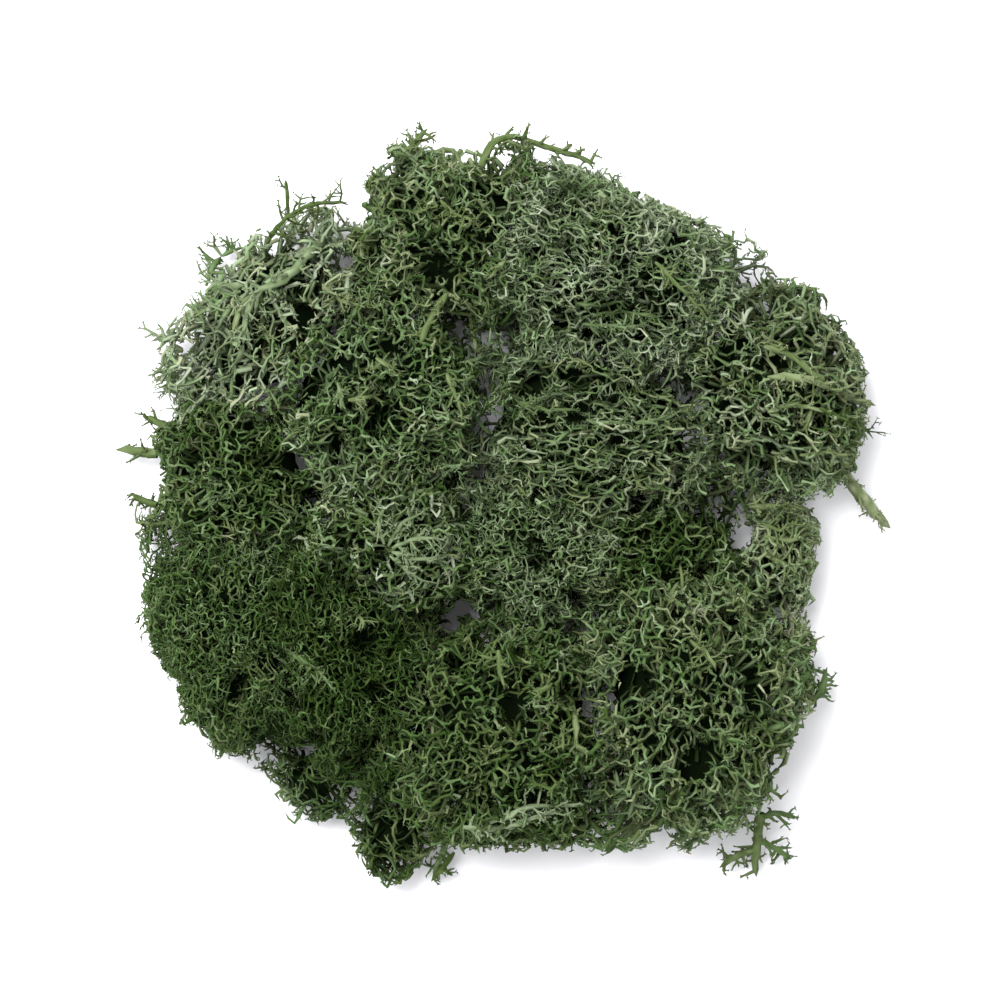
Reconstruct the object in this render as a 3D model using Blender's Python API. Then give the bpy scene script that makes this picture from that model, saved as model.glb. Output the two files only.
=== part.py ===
"""A clump of dried reindeer moss: branching tufts matted together and laid on a flat surface.

Metres, +Z up. The origin is on the surface, under the middle of the clump.
Each tuft is one body: a lumpy heart, and sprigs that stand out of it on all sides.
A sprig is a three-sided stem that forks into twigs, and these end in pointed tines.
"""
import math
import random
from collections import namedtuple

import bmesh
import bpy
import numpy as np
from mathutils import Vector
from mathutils.bvhtree import BVHTree

MM = 0.001
SEED = 23

# A sprig, from its root in the heart to its tines
STEM_RADIUS = 1.05 * MM
TWIG_RADIUS = 0.85 * MM
TINE_RADIUS = 0.62 * MM
ROOT_DEPTH = 0.9 * MM
SIDE_ROOT_DEPTH = 0.15 * MM
TWIG_LENGTH = 6.6 * MM
TINE_LENGTH = 4.8 * MM
CROWN_RISE = 5.0 * MM
STEM_SHARES = (1.0, 0.3, 0.65)
SHORTEST_STEM = 1.6 * MM
SHORTEST_TWIG = 2.6 * MM
SHORTEST_TINE = 1.8 * MM
TWIG_SPREAD = (46.0, 76.0)
TINE_SPREAD = (24.0, 52.0)
FORK_RISE = 0.55
STEM_TAPER = 0.9
LENGTH_SPREAD = 0.2

# How far stems and forks stray from their way, and how much shorter the last try makes them
STEM_WANDER = 0.3
FORK_WANDER = 0.22
LEAN_PULL = 0.16
STEM_SHRINK = 0.4
FORK_SHRINK = 0.5

# Room that every stem keeps to its neighbours, and how finely that is tried
CLEARANCE = 0.36 * MM
FLOOR_CLEARANCE = 0.25 * MM
SAMPLE_STEP = 0.8 * MM
FAR_APART = 45.0 * MM
OUTLINE_SLACK = 1.04
STEM_TRIES = 14
FORK_TRIES = 16

# A tuft's round body: where it is widest, and how lumpy it is
SEAT = 0.36
UNDER = 1.35
CORE_LUMP = 0.13
OUTLINE_LUMP = 0.10
ROUGHNESS = 0.07
HEART_GAP = 2.4 * MM
FIRST_PHASE = 0.4
PHASE_STEP = 1.7

# The short points that the heart's faces are drawn out to, as shares of the face's width
POINT_RISE = (0.45, 0.85)
POINT_DRIFT = 0.2
POINT_SHARES = (1.0, 0.7, 0.45, 0.25)
POINT_STEPS = 7
POINT_CLEARANCE = 0.7 * MM
LOWEST_POINT = 1.2 * MM
SETTLE_ROUNDS = 8
SETTLE_SHARE = 0.4

# Where sprigs stand on the heart, and which way they grow: out of its face, outwards and up
TOP_SPREAD = 0.93
SIDE_HEIGHTS = (0.25, 0.62, -0.1)
TOP_FACING = 0.6
TOP_OUTWARD = 0.75
SIDE_OUTWARD = 0.6
SIDE_UPWARD = 0.45
PROBE_STEP = 0.5 * MM
PROBE_STEPS = 40
HAIR = 0.001 * MM
GOLDEN_TURN = math.pi * (3.0 - math.sqrt(5.0))

Tuft = namedtuple("Tuft", "name x y long short turn height edge crown thick lean tops sides colour")
Stem = namedtuple("Stem", "node radii points sides rooted", defaults=(True,))

# Colours of the lichen, from bleached to deep shade
SAGE = (0.19, 0.23, 0.14)
GREY_GREEN = (0.11, 0.15, 0.085)
GREEN = (0.075, 0.115, 0.045)
LEAF_GREEN = (0.095, 0.14, 0.05)
DARK_GREEN = (0.035, 0.058, 0.026)
ROUGH = 0.85
SHARP_ANGLE = 35.0

# In millimetres: place, half sizes, height, and how far the sprigs stand out at the edge and on top.
# The turn is in degrees, and the lean is a share sideways.
TUFTS = [
    Tuft("tuft_upper_left", -54, 44, 29, 22.5, 60, 31, 6.5, 13, 1.2, (-0.4, -0.5), 8, 12, SAGE),
    Tuft("tuft_top", -11.5, 63, 27, 27, 0, 36, 6, 13, 1.0, (0.0, 0.1), 10, 9, GREEN),
    Tuft("tuft_upper_right", 25, 54, 36, 27, -15, 39, 6, 13, 0.9, (0.1, 0.15), 13, 10, GREY_GREEN),
    Tuft("tuft_right", 63.5, 27, 29.5, 26, 105, 34, 6.5, 13, 1.05, (0.5, -0.1), 10, 11, GREY_GREEN),
    Tuft("tuft_centre_right", 21, 18, 35, 26, -4, 36, 6, 13, 0.95, (0.4, 0.0), 11, 3, GREY_GREEN),
    Tuft("tuft_centre_left", -28, 26, 29, 27, 0, 37, 6, 13, 1.05, (0.0, -0.1), 11, 2, LEAF_GREEN),
    Tuft("tuft_left", -61.5, 7, 25, 22.5, 0, 30, 6, 12, 0.95, (-0.2, 0.0), 8, 8, GREEN),
    Tuft("tuft_lower_left", -63, -31, 29, 23, 105, 33, 6, 12, 0.8, (-0.1, -0.2), 10, 11, DARK_GREEN),
    Tuft("tuft_inner_left", -37, -36, 34, 21, 105, 36, 5.5, 12, 0.8, (0.0, -0.2), 9, 5, DARK_GREEN),
    Tuft("tuft_middle", -26, -9.5, 25, 19, -12, 35, 5.5, 12, 1.1, (0.2, 0.0), 7, 2, SAGE),
    Tuft("tuft_centre", 7.5, -12, 22.5, 17.5, -10, 31, 5.5, 11, 0.75, (0.1, 0.1), 6, 3, GREY_GREEN),
    Tuft("tuft_lower_middle", 0, -54, 31.5, 31.5, 0, 38, 6, 14, 1.15, (0.0, -0.1), 13, 10, LEAF_GREEN),
    Tuft("tuft_lower_right", 45, -46, 35, 31, 80, 38, 6, 14, 1.15, (0.1, 0.0), 14, 11, LEAF_GREEN),
    Tuft("tuft_lower_edge", 67, -14, 16, 12, 90, 23, 5, 10, 1.15, (0.2, -0.1), 3, 5, LEAF_GREEN),
    Tuft("tuft_inner_right", 38, -11, 19, 15.5, 0, 25, 5, 10, 1.0, (0.0, -0.1), 4, 2, GREEN),
    Tuft("spray_lower_left", -45.5, -66, 12, 10.5, 0, 15, 6, 8, 0.85, (-0.1, -0.3), 3, 5, GREEN),
    Tuft("spray_bottom", -26, -78.5, 13, 12, 0, 17, 6, 8, 0.85, (0.0, -0.3), 3, 6, GREEN),
]

# The tufts that hook into each other, the one that reaches first
TIES = [
    ("tuft_upper_left", "tuft_centre_left"),
    ("tuft_left", "tuft_upper_left"),
    ("tuft_top", "tuft_centre_left"),
    ("tuft_upper_right", "tuft_top"),
    ("tuft_upper_right", "tuft_right"),
    ("tuft_centre_right", "tuft_upper_right"),
    ("tuft_centre", "tuft_centre_right"),
    ("tuft_inner_right", "tuft_centre_right"),
    ("tuft_lower_right", "tuft_inner_right"),
    ("tuft_lower_right", "tuft_lower_edge"),
    ("tuft_right", "tuft_lower_edge"),
    ("tuft_lower_middle", "tuft_lower_right"),
    ("tuft_lower_middle", "tuft_inner_left"),
    ("tuft_inner_left", "tuft_lower_left"),
    ("tuft_lower_left", "tuft_left"),
    ("tuft_middle", "tuft_inner_left"),
    ("tuft_middle", "tuft_centre_left"),
    ("tuft_centre", "tuft_middle"),
    ("spray_lower_left", "tuft_inner_left"),
    ("spray_bottom", "tuft_lower_middle"),
]
TIE_RADIUS = 0.8 * MM
TIE_GAP = 0.45 * MM
TIE_KNEE = 0.45
TIE_SPIN = 0.3

# The long single stems that reach past the tufts: points and radii in millimetres.
# A stem that isn't rooted in its tuft's heart starts on the stem before it.
STEMS = [
    Stem("tuft_left", (1.3, 1.1, 1.0, 1.5),
         [(-81, 12.3, 7), (-84.5, 12.6, 6), (-88.5, 13.1, 5), (-91, 13.1, 5)], 1),
    Stem("tuft_left", (1.1, 1.0, 0.8), [(-77.5, 18.5, 13), (-81, 19.7, 11), (-84.5, 21, 9.5)], 2),
    Stem("tuft_left", (0.9, 0.8, 0.6), [(-81, 0, 7.5), (-84, 1, 6.5), (-87, 3, 5.5)], 2),
    Stem("tuft_upper_left", (0.5, 0.45, 0.4), [(-50, 68, 14), (-50.2, 73, 17), (-50.6, 77, 20)], 2),
    Stem("tuft_upper_left", (0.55, 0.5, 0.5, 0.4),
         [(-55, 62, 20), (-51.5, 67, 24), (-44.5, 71, 23), (-36.5, 71.5, 18)], 2),
    Stem("tuft_top", (0.9, 0.8, 0.7, 0.5),
         [(-22, 79, 13), (-23, 82.5, 12.5), (-19.5, 86, 12), (-17, 89, 11)], 3),
    Stem("tuft_top", (0.9, 0.85, 0.8, 0.7, 0.6),
         [(-4.5, 80, 21), (-2, 85, 22), (3, 86.8, 21), (14, 83.5, 18), (22.5, 80.5, 15)], 4),
    Stem("tuft_right", (1.5, 1.9, 1.5, 0.8),
         [(79, 8.5, 8), (82.5, 4, 6), (86.5, -0.8, 4.5), (90.3, -4.4, 3.2)], 2),
    Stem("tuft_lower_right", (0.9, 0.8, 0.6), [(73.5, -46, 10), (76, -42.5, 9), (77, -38, 8)], 2),
    Stem("tuft_lower_middle", (0.8, 0.7, 0.6), [(-12.5, -78, 6), (-14, -82.5, 5), (-16, -87, 4)], 2),
    Stem("tuft_lower_right", (1.3, 1.2, 1.1, 0.6),
         [(61.3, -72.5, 8), (60.9, -77, 6.5), (60, -82, 5), (60.3, -87.6, 3.5)], 0),
    Stem("tuft_lower_right", (0.9, 0.8, 0.6),
         [(60.2, -81, 5.3), (55.5, -82.7, 5.5), (51.5, -85.5, 4.5)], 1, False),
    Stem("tuft_lower_right", (0.8, 0.7, 0.6),
         [(60.7, -79, 6), (65, -80.8, 6), (68, -83.7, 5)], 1, False),
    Stem("tuft_lower_right", (0.8, 0.7, 0.6),
         [(61.3, -73.5, 7.8), (66, -72.5, 9), (69.5, -74, 9.5)], 1, False),
]
STEM_SPIN = 0.6
END_TINE = 2.4 * MM
SIDE_STEM = 2.2 * MM
SIDE_SIZE = 0.5
SIDE_ONWARD = 0.7
SIDE_RISE = 0.25


class Twig:
    """One straight piece of a sprig, from the triangle it grows from to its far triangle or point."""

    def __init__(self, ring, end, radius, pointed):
        self.ring = ring
        self.start = (ring[0] + ring[1] + ring[2]) / 3.0
        self.end = end
        self.radius = radius
        self.pointed = pointed
        self.axis = (end - self.start).normalized()
        self.far_ring = None if pointed else turned_ring(ring, end, self.axis, radius)
        self.onward = None
        self.forks = [None, None, None]

    def middle(self):
        """The raised point in the far triangle that its three forks share."""
        return self.end + self.axis * self.radius * FORK_RISE

    def fork_ring(self, side):
        """The small triangle that fork number side grows from."""
        return [self.far_ring[side], self.far_ring[(side + 1) % 3], self.middle()]

    def fork_outward(self, side):
        """The way that fork number side leans out."""
        edge = (self.far_ring[side] + self.far_ring[(side + 1) % 3]) / 2.0
        return (edge - self.end).normalized()


def turned_ring(ring, centre, axis, radius):
    """An even triangle square to the axis, with as little twist from the given one as can be."""
    side_way = axis.orthogonal().normalized()
    up_way = axis.cross(side_way)
    old_centre = (ring[0] + ring[1] + ring[2]) / 3.0
    across = 0.0
    along = 0.0
    for corner, point in enumerate(ring):
        arm = point - old_centre
        angle = math.atan2(arm.dot(up_way), arm.dot(side_way)) - corner * math.tau / 3.0
        across += math.cos(angle)
        along += math.sin(angle)
    first = math.atan2(along, across)
    corners = []
    for corner in range(3):
        angle = first + corner * math.tau / 3.0
        arm = side_way * math.cos(angle) + up_way * math.sin(angle)
        corners.append(centre + arm * radius)
    return corners


def root_ring(centre, axis, radius, spin):
    """The triangle that a sprig starts from."""
    side_way = axis.orthogonal().normalized()
    up_way = axis.cross(side_way)
    corners = []
    for corner in range(3):
        angle = spin + corner * math.tau / 3.0
        corners.append(centre + (side_way * math.cos(angle) + up_way * math.sin(angle)) * radius)
    return corners


def wave(direction, phase):
    """A smooth lumpiness between about -1 and 1 over all directions."""
    value = math.sin(3.1 * direction.x + 1.9 * direction.y + phase)
    value += math.sin(2.7 * direction.y - 3.3 * direction.z + 2.0 * phase)
    value += math.sin(4.3 * direction.z + 2.3 * direction.x - 1.4 * phase)
    return value / 3.0


class Body:
    """The round form of a tuft: the heart that it is built on, and the outline its tips reach."""

    def __init__(self, tuft, phase):
        self.tuft = tuft
        self.phase = phase
        turn = math.radians(tuft.turn)
        self.long_way = Vector((math.cos(turn), math.sin(turn), 0.0))
        self.short_way = Vector((-math.sin(turn), math.cos(turn), 0.0))
        self.height = tuft.height * MM
        self.edge = tuft.edge * MM
        self.crown = tuft.crown * MM
        self.centre = Vector((tuft.x * MM, tuft.y * MM, SEAT * self.height))
        self.heart = None
        self.tree = None

    def half_sizes(self, edge, crown, upward):
        """Half sizes along the long, short and vertical ways, drawn in at the edge and the crown."""
        above = self.height - crown - self.centre.z
        vertical = above if upward else self.centre.z * UNDER
        return self.tuft.long * MM - edge, self.tuft.short * MM - edge, vertical

    def heart_point(self, direction, roughness):
        """The point of the heart along a unit direction of the unit ball."""
        sizes = self.half_sizes(self.edge, self.crown, direction.z > 0.0)
        swell = 1.0 + CORE_LUMP * wave(direction, self.phase) + roughness
        offset = self.long_way * (direction.x * sizes[0])
        offset += self.short_way * (direction.y * sizes[1])
        offset += Vector((0.0, 0.0, direction.z * sizes[2]))
        return self.centre + offset * swell

    def reach(self, point):
        """How far out a point is, as a share of the outline: 1 on the outline."""
        arm = point - self.centre
        sizes = self.half_sizes(0.0, 0.0, arm.z > 0.0)
        ball = Vector((arm.dot(self.long_way) / sizes[0], arm.dot(self.short_way) / sizes[1],
                       arm.z / sizes[2]))
        if ball.length < 1e-6:
            return 0.0
        swell = 1.0 + OUTLINE_LUMP * wave(ball.normalized(), self.phase)
        return ball.length / swell

    def half_width(self, way):
        """How far the heart reaches along a level way."""
        sizes = self.half_sizes(self.edge, self.crown, True)
        return math.hypot(way.dot(self.long_way) * sizes[0], way.dot(self.short_way) * sizes[1])

    def borders(self, others):
        """The upright planes that part the heart from its neighbours: each a way and a distance."""
        planes = []
        for other in others:
            if other is self or not self.near(other):
                continue
            across = Vector((other.centre.x - self.centre.x, other.centre.y - self.centre.y, 0.0))
            way = across.normalized()
            spare = across.length - HEART_GAP - self.half_width(way) - other.half_width(way)
            planes.append((way, self.half_width(way) + spare / 2.0))
        return planes

    def shape_heart(self, others):
        """The heart without its points: a rough, lumpy ball with a flat foot on the surface."""
        rng = random.Random(self.tuft.name)
        planes = self.borders(others)
        self.heart = bmesh.new()
        bmesh.ops.create_icosphere(self.heart, subdivisions=2, radius=1.0)
        for vert in self.heart.verts:
            rough = rng.uniform(-ROUGHNESS, ROUGHNESS)
            point = self.heart_point(vert.co.normalized(), rough)
            arm = Vector((point.x - self.centre.x, point.y - self.centre.y, 0.0))
            for way, limit in planes:
                if arm.dot(way) > limit:
                    arm *= limit / arm.dot(way)
            vert.co = self.centre + arm
            vert.co.z = max(point.z, 0.0)
        self.heart.normal_update()
        self.tree = BVHTree.FromBMesh(self.heart)

    def raise_points(self, others):
        """Draw each face of the heart out to a short point, clear of the other hearts."""
        rng = random.Random(self.tuft.name)
        near = [body for body in others if body is not self and self.near(body)]
        tips = {}
        for face in list(self.heart.faces):
            middle = face.calc_center_median()
            if middle.z < LOWEST_POINT:
                continue
            width = math.sqrt(face.calc_area())
            drift = Vector([rng.uniform(-POINT_DRIFT, POINT_DRIFT) for _ in range(3)]) * width
            way = (middle - self.centre).normalized()
            rise = rng.uniform(*POINT_RISE) * width
            corners = [vert.co.copy() for vert in face.verts]
            for share in POINT_SHARES:
                tip = middle + (way * rise + drift) * share
                if tip.z > LOWEST_POINT and clear_of_trees(corners, tip, near):
                    made = bmesh.ops.poke(self.heart, faces=[face])
                    made["verts"][0].co = tip
                    tips[made["verts"][0]] = middle
                    break
        self.settle_points(tips)
        self.heart.normal_update()
        self.tree = BVHTree.FromBMesh(self.heart)

    def settle_points(self, tips):
        """Lower the points of the heart that run into each other."""
        for _ in range(SETTLE_ROUNDS):
            self.heart.faces.ensure_lookup_table()
            tree = BVHTree.FromBMesh(self.heart)
            crossing = set()
            for one, other in tree.overlap(tree):
                corners = self.heart.faces[one].verts
                if not set(corners) & set(self.heart.faces[other].verts):
                    crossing.update(corners)
            if not crossing:
                return
            for tip, middle in tips.items():
                if tip in crossing:
                    tip.co = tip.co.lerp(middle, SETTLE_SHARE)

    def near(self, other):
        """Whether another tuft is close enough to matter."""
        apart = (self.centre - other.centre).length
        return apart < (self.tuft.long + other.tuft.long) * MM

    def heart_mesh(self):
        """The finished heart as a mesh."""
        mesh = bpy.data.meshes.new(self.tuft.name)
        self.heart.to_mesh(mesh)
        self.heart.free()
        return mesh

    def room(self, start, direction):
        """How far a sprig can run from start before it meets the outline."""
        run = 0.0
        while run < 2.0 * self.crown and self.reach(start + direction * (run + PROBE_STEP)) < 1.0:
            run += PROBE_STEP
        return run

    def foothold(self, start, back):
        """The first place along a way that lies well inside the heart."""
        for step in range(1, PROBE_STEPS):
            place = start + back * (step * PROBE_STEP)
            if self.tree.find_nearest(place, ROOT_DEPTH)[0] is None and self.holds(place):
                return place
        return None

    def holds(self, place):
        """Whether a place is inside the heart: a line up from it then leaves it once more."""
        up = Vector((0.0, 0.0, 1.0))
        crossings = 0
        hit = self.tree.ray_cast(place, up)[0]
        while hit is not None:
            crossings += 1
            hit = self.tree.ray_cast(hit + up * HAIR, up)[0]
        return crossings % 2 == 1

    def top_sites(self):
        """Roots spread evenly over the heart as seen from above, each with its way to grow."""
        sites = []
        sizes = self.half_sizes(self.edge, self.crown, True)
        for count in range(self.tuft.tops):
            around = count * GOLDEN_TURN + self.phase
            far = TOP_SPREAD * math.sqrt((count + 0.5) / self.tuft.tops)
            plan = self.long_way * (math.cos(around) * far * sizes[0])
            plan += self.short_way * (math.sin(around) * far * sizes[1])
            above = Vector((self.centre.x + plan.x, self.centre.y + plan.y, self.height))
            root, normal, _, _ = self.tree.ray_cast(above, Vector((0.0, 0.0, -1.0)))
            if root is None:
                continue
            outward = Vector((plan.x / sizes[0], plan.y / sizes[1], 0.0))
            upward = Vector((self.tuft.lean[0], self.tuft.lean[1], 1.0))
            way = normal * TOP_FACING + outward * TOP_OUTWARD + upward
            sites.append((root, way.normalized()))
        return sites

    def side_sites(self):
        """Roots spread round the heart's sides at a few heights."""
        sites = []
        for count in range(self.tuft.sides):
            around = (count + 0.5) * math.tau / self.tuft.sides + self.phase
            height = SIDE_HEIGHTS[count % len(SIDE_HEIGHTS)]
            flat = math.sqrt(1.0 - height * height)
            ball = Vector((flat * math.cos(around), flat * math.sin(around), height))
            toward = (self.heart_point(ball, 0.0) - self.centre).normalized()
            root, normal, _, _ = self.tree.ray_cast(self.centre, toward)
            upward = Vector((self.tuft.lean[0], self.tuft.lean[1], SIDE_UPWARD))
            way = normal + toward * SIDE_OUTWARD + upward
            sites.append((root, way.normalized()))
        return sites


def clear_of_trees(corners, tip, bodies):
    """Whether a point drawn out from three corners keeps clear of the other hearts."""
    middle = (corners[0] + corners[1] + corners[2]) / 3.0
    halfway = [(corners[side] + corners[side - 1]) / 2.0 for side in range(3)]
    for corner in corners + halfway + [middle]:
        for step in range(1, POINT_STEPS + 1):
            place = corner.lerp(tip, step / POINT_STEPS)
            for body in bodies:
                if body.tree.find_nearest(place, POINT_CLEARANCE)[0] is not None:
                    return False
    return True


class Field:
    """Every stem placed so far, to keep each new one clear of them and of the hearts."""

    def __init__(self, bodies):
        self.bodies = bodies
        self.starts = np.zeros((0, 3))
        self.ends = np.zeros((0, 3))
        self.radii = np.zeros(0)

    def add(self, start, end, radius):
        """Keep a placed stem, and give its number."""
        self.starts = np.vstack([self.starts, np.array(start)])
        self.ends = np.vstack([self.ends, np.array(end)])
        self.radii = np.append(self.radii, radius)
        return len(self.radii) - 1

    def free(self, start, end, radius, family, own_heart=None):
        """Whether a stem would be clear of the floor, the other stems and the hearts."""
        if min(start.z, end.z) - radius < FLOOR_CLEARANCE:
            return False
        return self.clear_of_stems(start, end, radius, family) and self.clear_of_hearts(
            start, end, radius, own_heart)

    def clear_of_stems(self, start, end, radius, family):
        """Whether a stem keeps clear of all others but its own family."""
        if len(self.radii) == 0:
            return True
        gaps = stem_distances(np.array(start), np.array(end), self.starts, self.ends)
        gaps = gaps - self.radii - radius
        gaps[list(family)] = 1.0
        return gaps.min() > CLEARANCE

    def clear_of_hearts(self, start, end, radius, own_heart):
        """Whether a stem keeps clear of every heart but the one that it grows from."""
        steps = max(2, math.ceil((end - start).length / SAMPLE_STEP))
        for body in self.bodies:
            if body.tree is None or body is own_heart:
                continue
            if (start - body.centre).length > (end - start).length + FAR_APART:
                continue
            for step in range(steps + 1):
                point = start.lerp(end, step / steps)
                if body.tree.find_nearest(point, radius + CLEARANCE)[0] is not None:
                    return False
        return True


def stem_distances(start, end, starts, ends):
    """Distances between the axis start-end and each of many other axes."""
    way = end - start
    ways = ends - starts
    offset = start - starts
    way_way = max(float(way @ way), 1e-12)
    ways_ways = np.maximum((ways * ways).sum(axis=1), 1e-12)
    cross = ways @ way
    way_offset = offset @ way
    ways_offset = (ways * offset).sum(axis=1)
    spread = way_way * ways_ways - cross * cross
    flat = spread < 1e-12 * way_way * ways_ways
    share = np.where(flat, 0.0, (cross * ways_offset - ways_ways * way_offset)
                     / np.where(flat, 1.0, spread))
    share = np.clip(share, 0.0, 1.0)
    other = np.clip((cross * share + ways_offset) / ways_ways, 0.0, 1.0)
    share = np.clip((cross * other - way_offset) / way_way, 0.0, 1.0)
    gap = (start + share[:, None] * way) - (starts + other[:, None] * ways)
    return np.sqrt((gap * gap).sum(axis=1))


class Grower:
    """Grows the sprigs of one tuft or long stem, each clear of all that is there."""

    def __init__(self, field, rng, body=None, thick=1.0, lean=(0.0, 0.0)):
        self.field = field
        self.rng = rng
        self.body = body
        self.thick = thick
        self.lean = Vector((lean[0], lean[1], 0.0))

    def fits(self, end):
        """Whether a point is inside the tuft's outline."""
        return self.body is None or self.body.reach(end) < OUTLINE_SLACK

    def wander(self, most):
        """A small random turn, sideways and up or down."""
        return Vector([self.rng.uniform(-most, most) for _ in range(3)])

    def fork(self, twig, number, length, radius, spreads, shortest, pointed=False):
        """Grow up to three forks from a twig's far end, and give them with their numbers."""
        grown = []
        siblings = {number}
        for side in range(3):
            outward = twig.fork_outward(side)
            ring = twig.fork_ring(side)
            start = (ring[0] + ring[1] + ring[2]) / 3.0
            for attempt in range(FORK_TRIES):
                spread = math.radians(self.rng.uniform(*spreads))
                wander = self.wander(FORK_WANDER)
                way = twig.axis * math.cos(spread) + outward * math.sin(spread) + wander
                way = (way + self.lean * LEAN_PULL).normalized()
                shrink = 1.0 - FORK_SHRINK * attempt / FORK_TRIES
                stretch = self.rng.uniform(1.0 - LENGTH_SPREAD, 1.0 + LENGTH_SPREAD)
                end = start + way * max(length * stretch * shrink, shortest)
                if not self.fits(end):
                    continue
                if self.field.free(start, end, radius, siblings):
                    child = Twig(ring, end, radius, pointed)
                    twig.forks[side] = child
                    new_number = self.field.add(start, end, radius)
                    siblings.add(new_number)
                    grown.append((child, new_number))
                    break
        return grown

    def crown(self, twig, number, size):
        """Fork a stem into twigs, and each twig into tines."""
        twig_radius = TWIG_RADIUS * self.thick
        tine_radius = TINE_RADIUS * self.thick
        for child, child_number in self.fork(twig, number, TWIG_LENGTH * size, twig_radius,
                                             TWIG_SPREAD, SHORTEST_TWIG):
            self.fork(child, child_number, TINE_LENGTH * size, tine_radius, TINE_SPREAD,
                      SHORTEST_TINE, pointed=True)

    def sprig(self, root, way, stem_length, size=1.0, own_heart=None, family=(),
              radius=STEM_RADIUS):
        """A whole sprig from a root on a surface, or None where there is no room for it."""
        radius = radius * self.thick
        for attempt in range(STEM_TRIES):
            tried = attempt / STEM_TRIES
            turned = (way + self.wander(STEM_WANDER) * (tried + STEM_WANDER)).normalized()
            stretch = self.rng.uniform(1.0 - LENGTH_SPREAD, 1.0 + LENGTH_SPREAD)
            end = root + turned * stem_length * stretch * (1.0 - STEM_SHRINK * tried)
            if self.field.free(root, end, radius, set(family), own_heart):
                foot = root - turned * SIDE_ROOT_DEPTH
                if own_heart is not None:
                    foot = own_heart.foothold(root, -turned)
                if foot is None:
                    continue
                ring = root_ring(foot, turned, radius, self.rng.uniform(0.0, math.tau))
                stem = Twig(ring, end, radius * STEM_TAPER, False)
                number = self.field.add(root, end, radius)
                self.crown(stem, number, size)
                return stem
        return None


def stem_route(stem, heart):
    """A long stem's points, with its root in the heart that carries it put before them."""
    points = [Vector(point) * MM for point in stem.points]
    radii = [radius * MM for radius in stem.radii]
    if stem.rooted:
        back = (points[0] - points[1]).normalized() + (heart.centre - points[0]).normalized()
        points.insert(0, heart.foothold(points[0], back.normalized()))
        radii.insert(0, radii[0])
    return points, radii


def long_stem(grower, stem, heart):
    """A long stem through its points, with tines at its end, and the numbers of its pieces."""
    points, radii = stem_route(stem, heart)
    first_way = (points[1] - points[0]).normalized()
    ring = root_ring(points[0], first_way, radii[0], STEM_SPIN)
    numbers = []
    first = None
    last = None
    for place in range(1, len(points)):
        twig = Twig(ring, points[place], radii[place], False)
        numbers.append(grower.field.add(points[place - 1], points[place],
                                        max(radii[place - 1], radii[place])))
        if last is None:
            first = twig
        else:
            last.onward = twig
        last = twig
        ring = twig.far_ring
    grower.fork(last, numbers[-1], END_TINE, TINE_RADIUS, TINE_SPREAD, SHORTEST_TINE, pointed=True)
    return first, numbers


def side_sprigs(grower, stem, numbers):
    """Short sprigs along a long stem, on one side and the other in turn."""
    points = [Vector(point) * MM for point in stem.points]
    sprigs = []
    for count in range(stem.sides):
        place = 1.0 + (count + 0.5) * (len(points) - 2) / stem.sides
        step = min(int(place), len(points) - 2)
        along = (points[step + 1] - points[step]).normalized()
        root = points[step].lerp(points[step + 1], place - step)
        sideways = along.cross(Vector((0.0, 0.0, 1.0))).normalized()
        way = sideways * (1.0 if count % 2 else -1.0) + along * SIDE_ONWARD
        way += Vector((0.0, 0.0, SIDE_RISE))
        sprig = grower.sprig(root, way.normalized(), SIDE_STEM, size=SIDE_SIZE, family=numbers,
                             radius=TINE_RADIUS)
        if sprig is not None:
            sprigs.append(sprig)
    return sprigs


def tie_stem(field, bodies, reaching, reached):
    """A stem from one tuft's heart that ends as a point just short of the next tuft's."""
    source = bodies[reaching]
    target = bodies[reached]
    low = min(source.centre.z, target.centre.z)
    start = Vector((source.centre.x, source.centre.y, low))
    aim = Vector((target.centre.x, target.centre.y, low))
    way = (aim - start).normalized()
    leaves = source.tree.ray_cast(aim, -way)[0]
    meets = target.tree.ray_cast(start, way)[0]
    knee = leaves.lerp(meets, TIE_KNEE)
    tip = meets - way * TIE_GAP
    ring = root_ring(source.foothold(leaves, -way), way, TIE_RADIUS, TIE_SPIN)
    stem = Twig(ring, knee, TIE_RADIUS, False)
    stem.onward = Twig(stem.far_ring, tip, TIE_RADIUS, True)
    field.add(leaves, tip, TIE_RADIUS)
    return stem


def skin(twig, corners, points, faces):
    """Add the surface of a twig and of all that grows from it, from the numbered corners on."""
    if twig.pointed:
        tip = len(points)
        points.append(twig.end)
        for side in range(3):
            faces.append((corners[side], corners[(side + 1) % 3], tip))
        return
    far = [len(points), len(points) + 1, len(points) + 2]
    points.extend(twig.far_ring)
    for side in range(3):
        after = (side + 1) % 3
        faces.append((corners[side], corners[after], far[after]))
        faces.append((corners[side], far[after], far[side]))
    if twig.onward is not None:
        skin(twig.onward, far, points, faces)
        return
    if not any(twig.forks):
        faces.append(tuple(far))
        return
    middle = len(points)
    points.append(twig.middle())
    for side in range(3):
        small = (far[side], far[(side + 1) % 3], middle)
        if twig.forks[side] is None:
            faces.append(small)
        else:
            skin(twig.forks[side], small, points, faces)


def sprig_mesh(twig, name):
    """One closed mesh for a whole sprig."""
    points = list(twig.ring)
    faces = [(2, 1, 0)]
    skin(twig, (0, 1, 2), points, faces)
    mesh = bpy.data.meshes.new(name)
    mesh.from_pydata([tuple(point) for point in points], [], faces)
    mesh.validate()
    return mesh


def lichen_material(name, colour):
    """Dry lichen: a dull surface with a colour of its own."""
    material = bpy.data.materials.new(name)
    material.use_nodes = True
    shader = material.node_tree.nodes["Principled BSDF"]
    shader.inputs["Base Color"].default_value = (*colour, 1.0)
    shader.inputs["Roughness"].default_value = ROUGH
    shader.inputs["Metallic"].default_value = 0.0
    material.diffuse_color = (*colour, 1.0)
    return material


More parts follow.
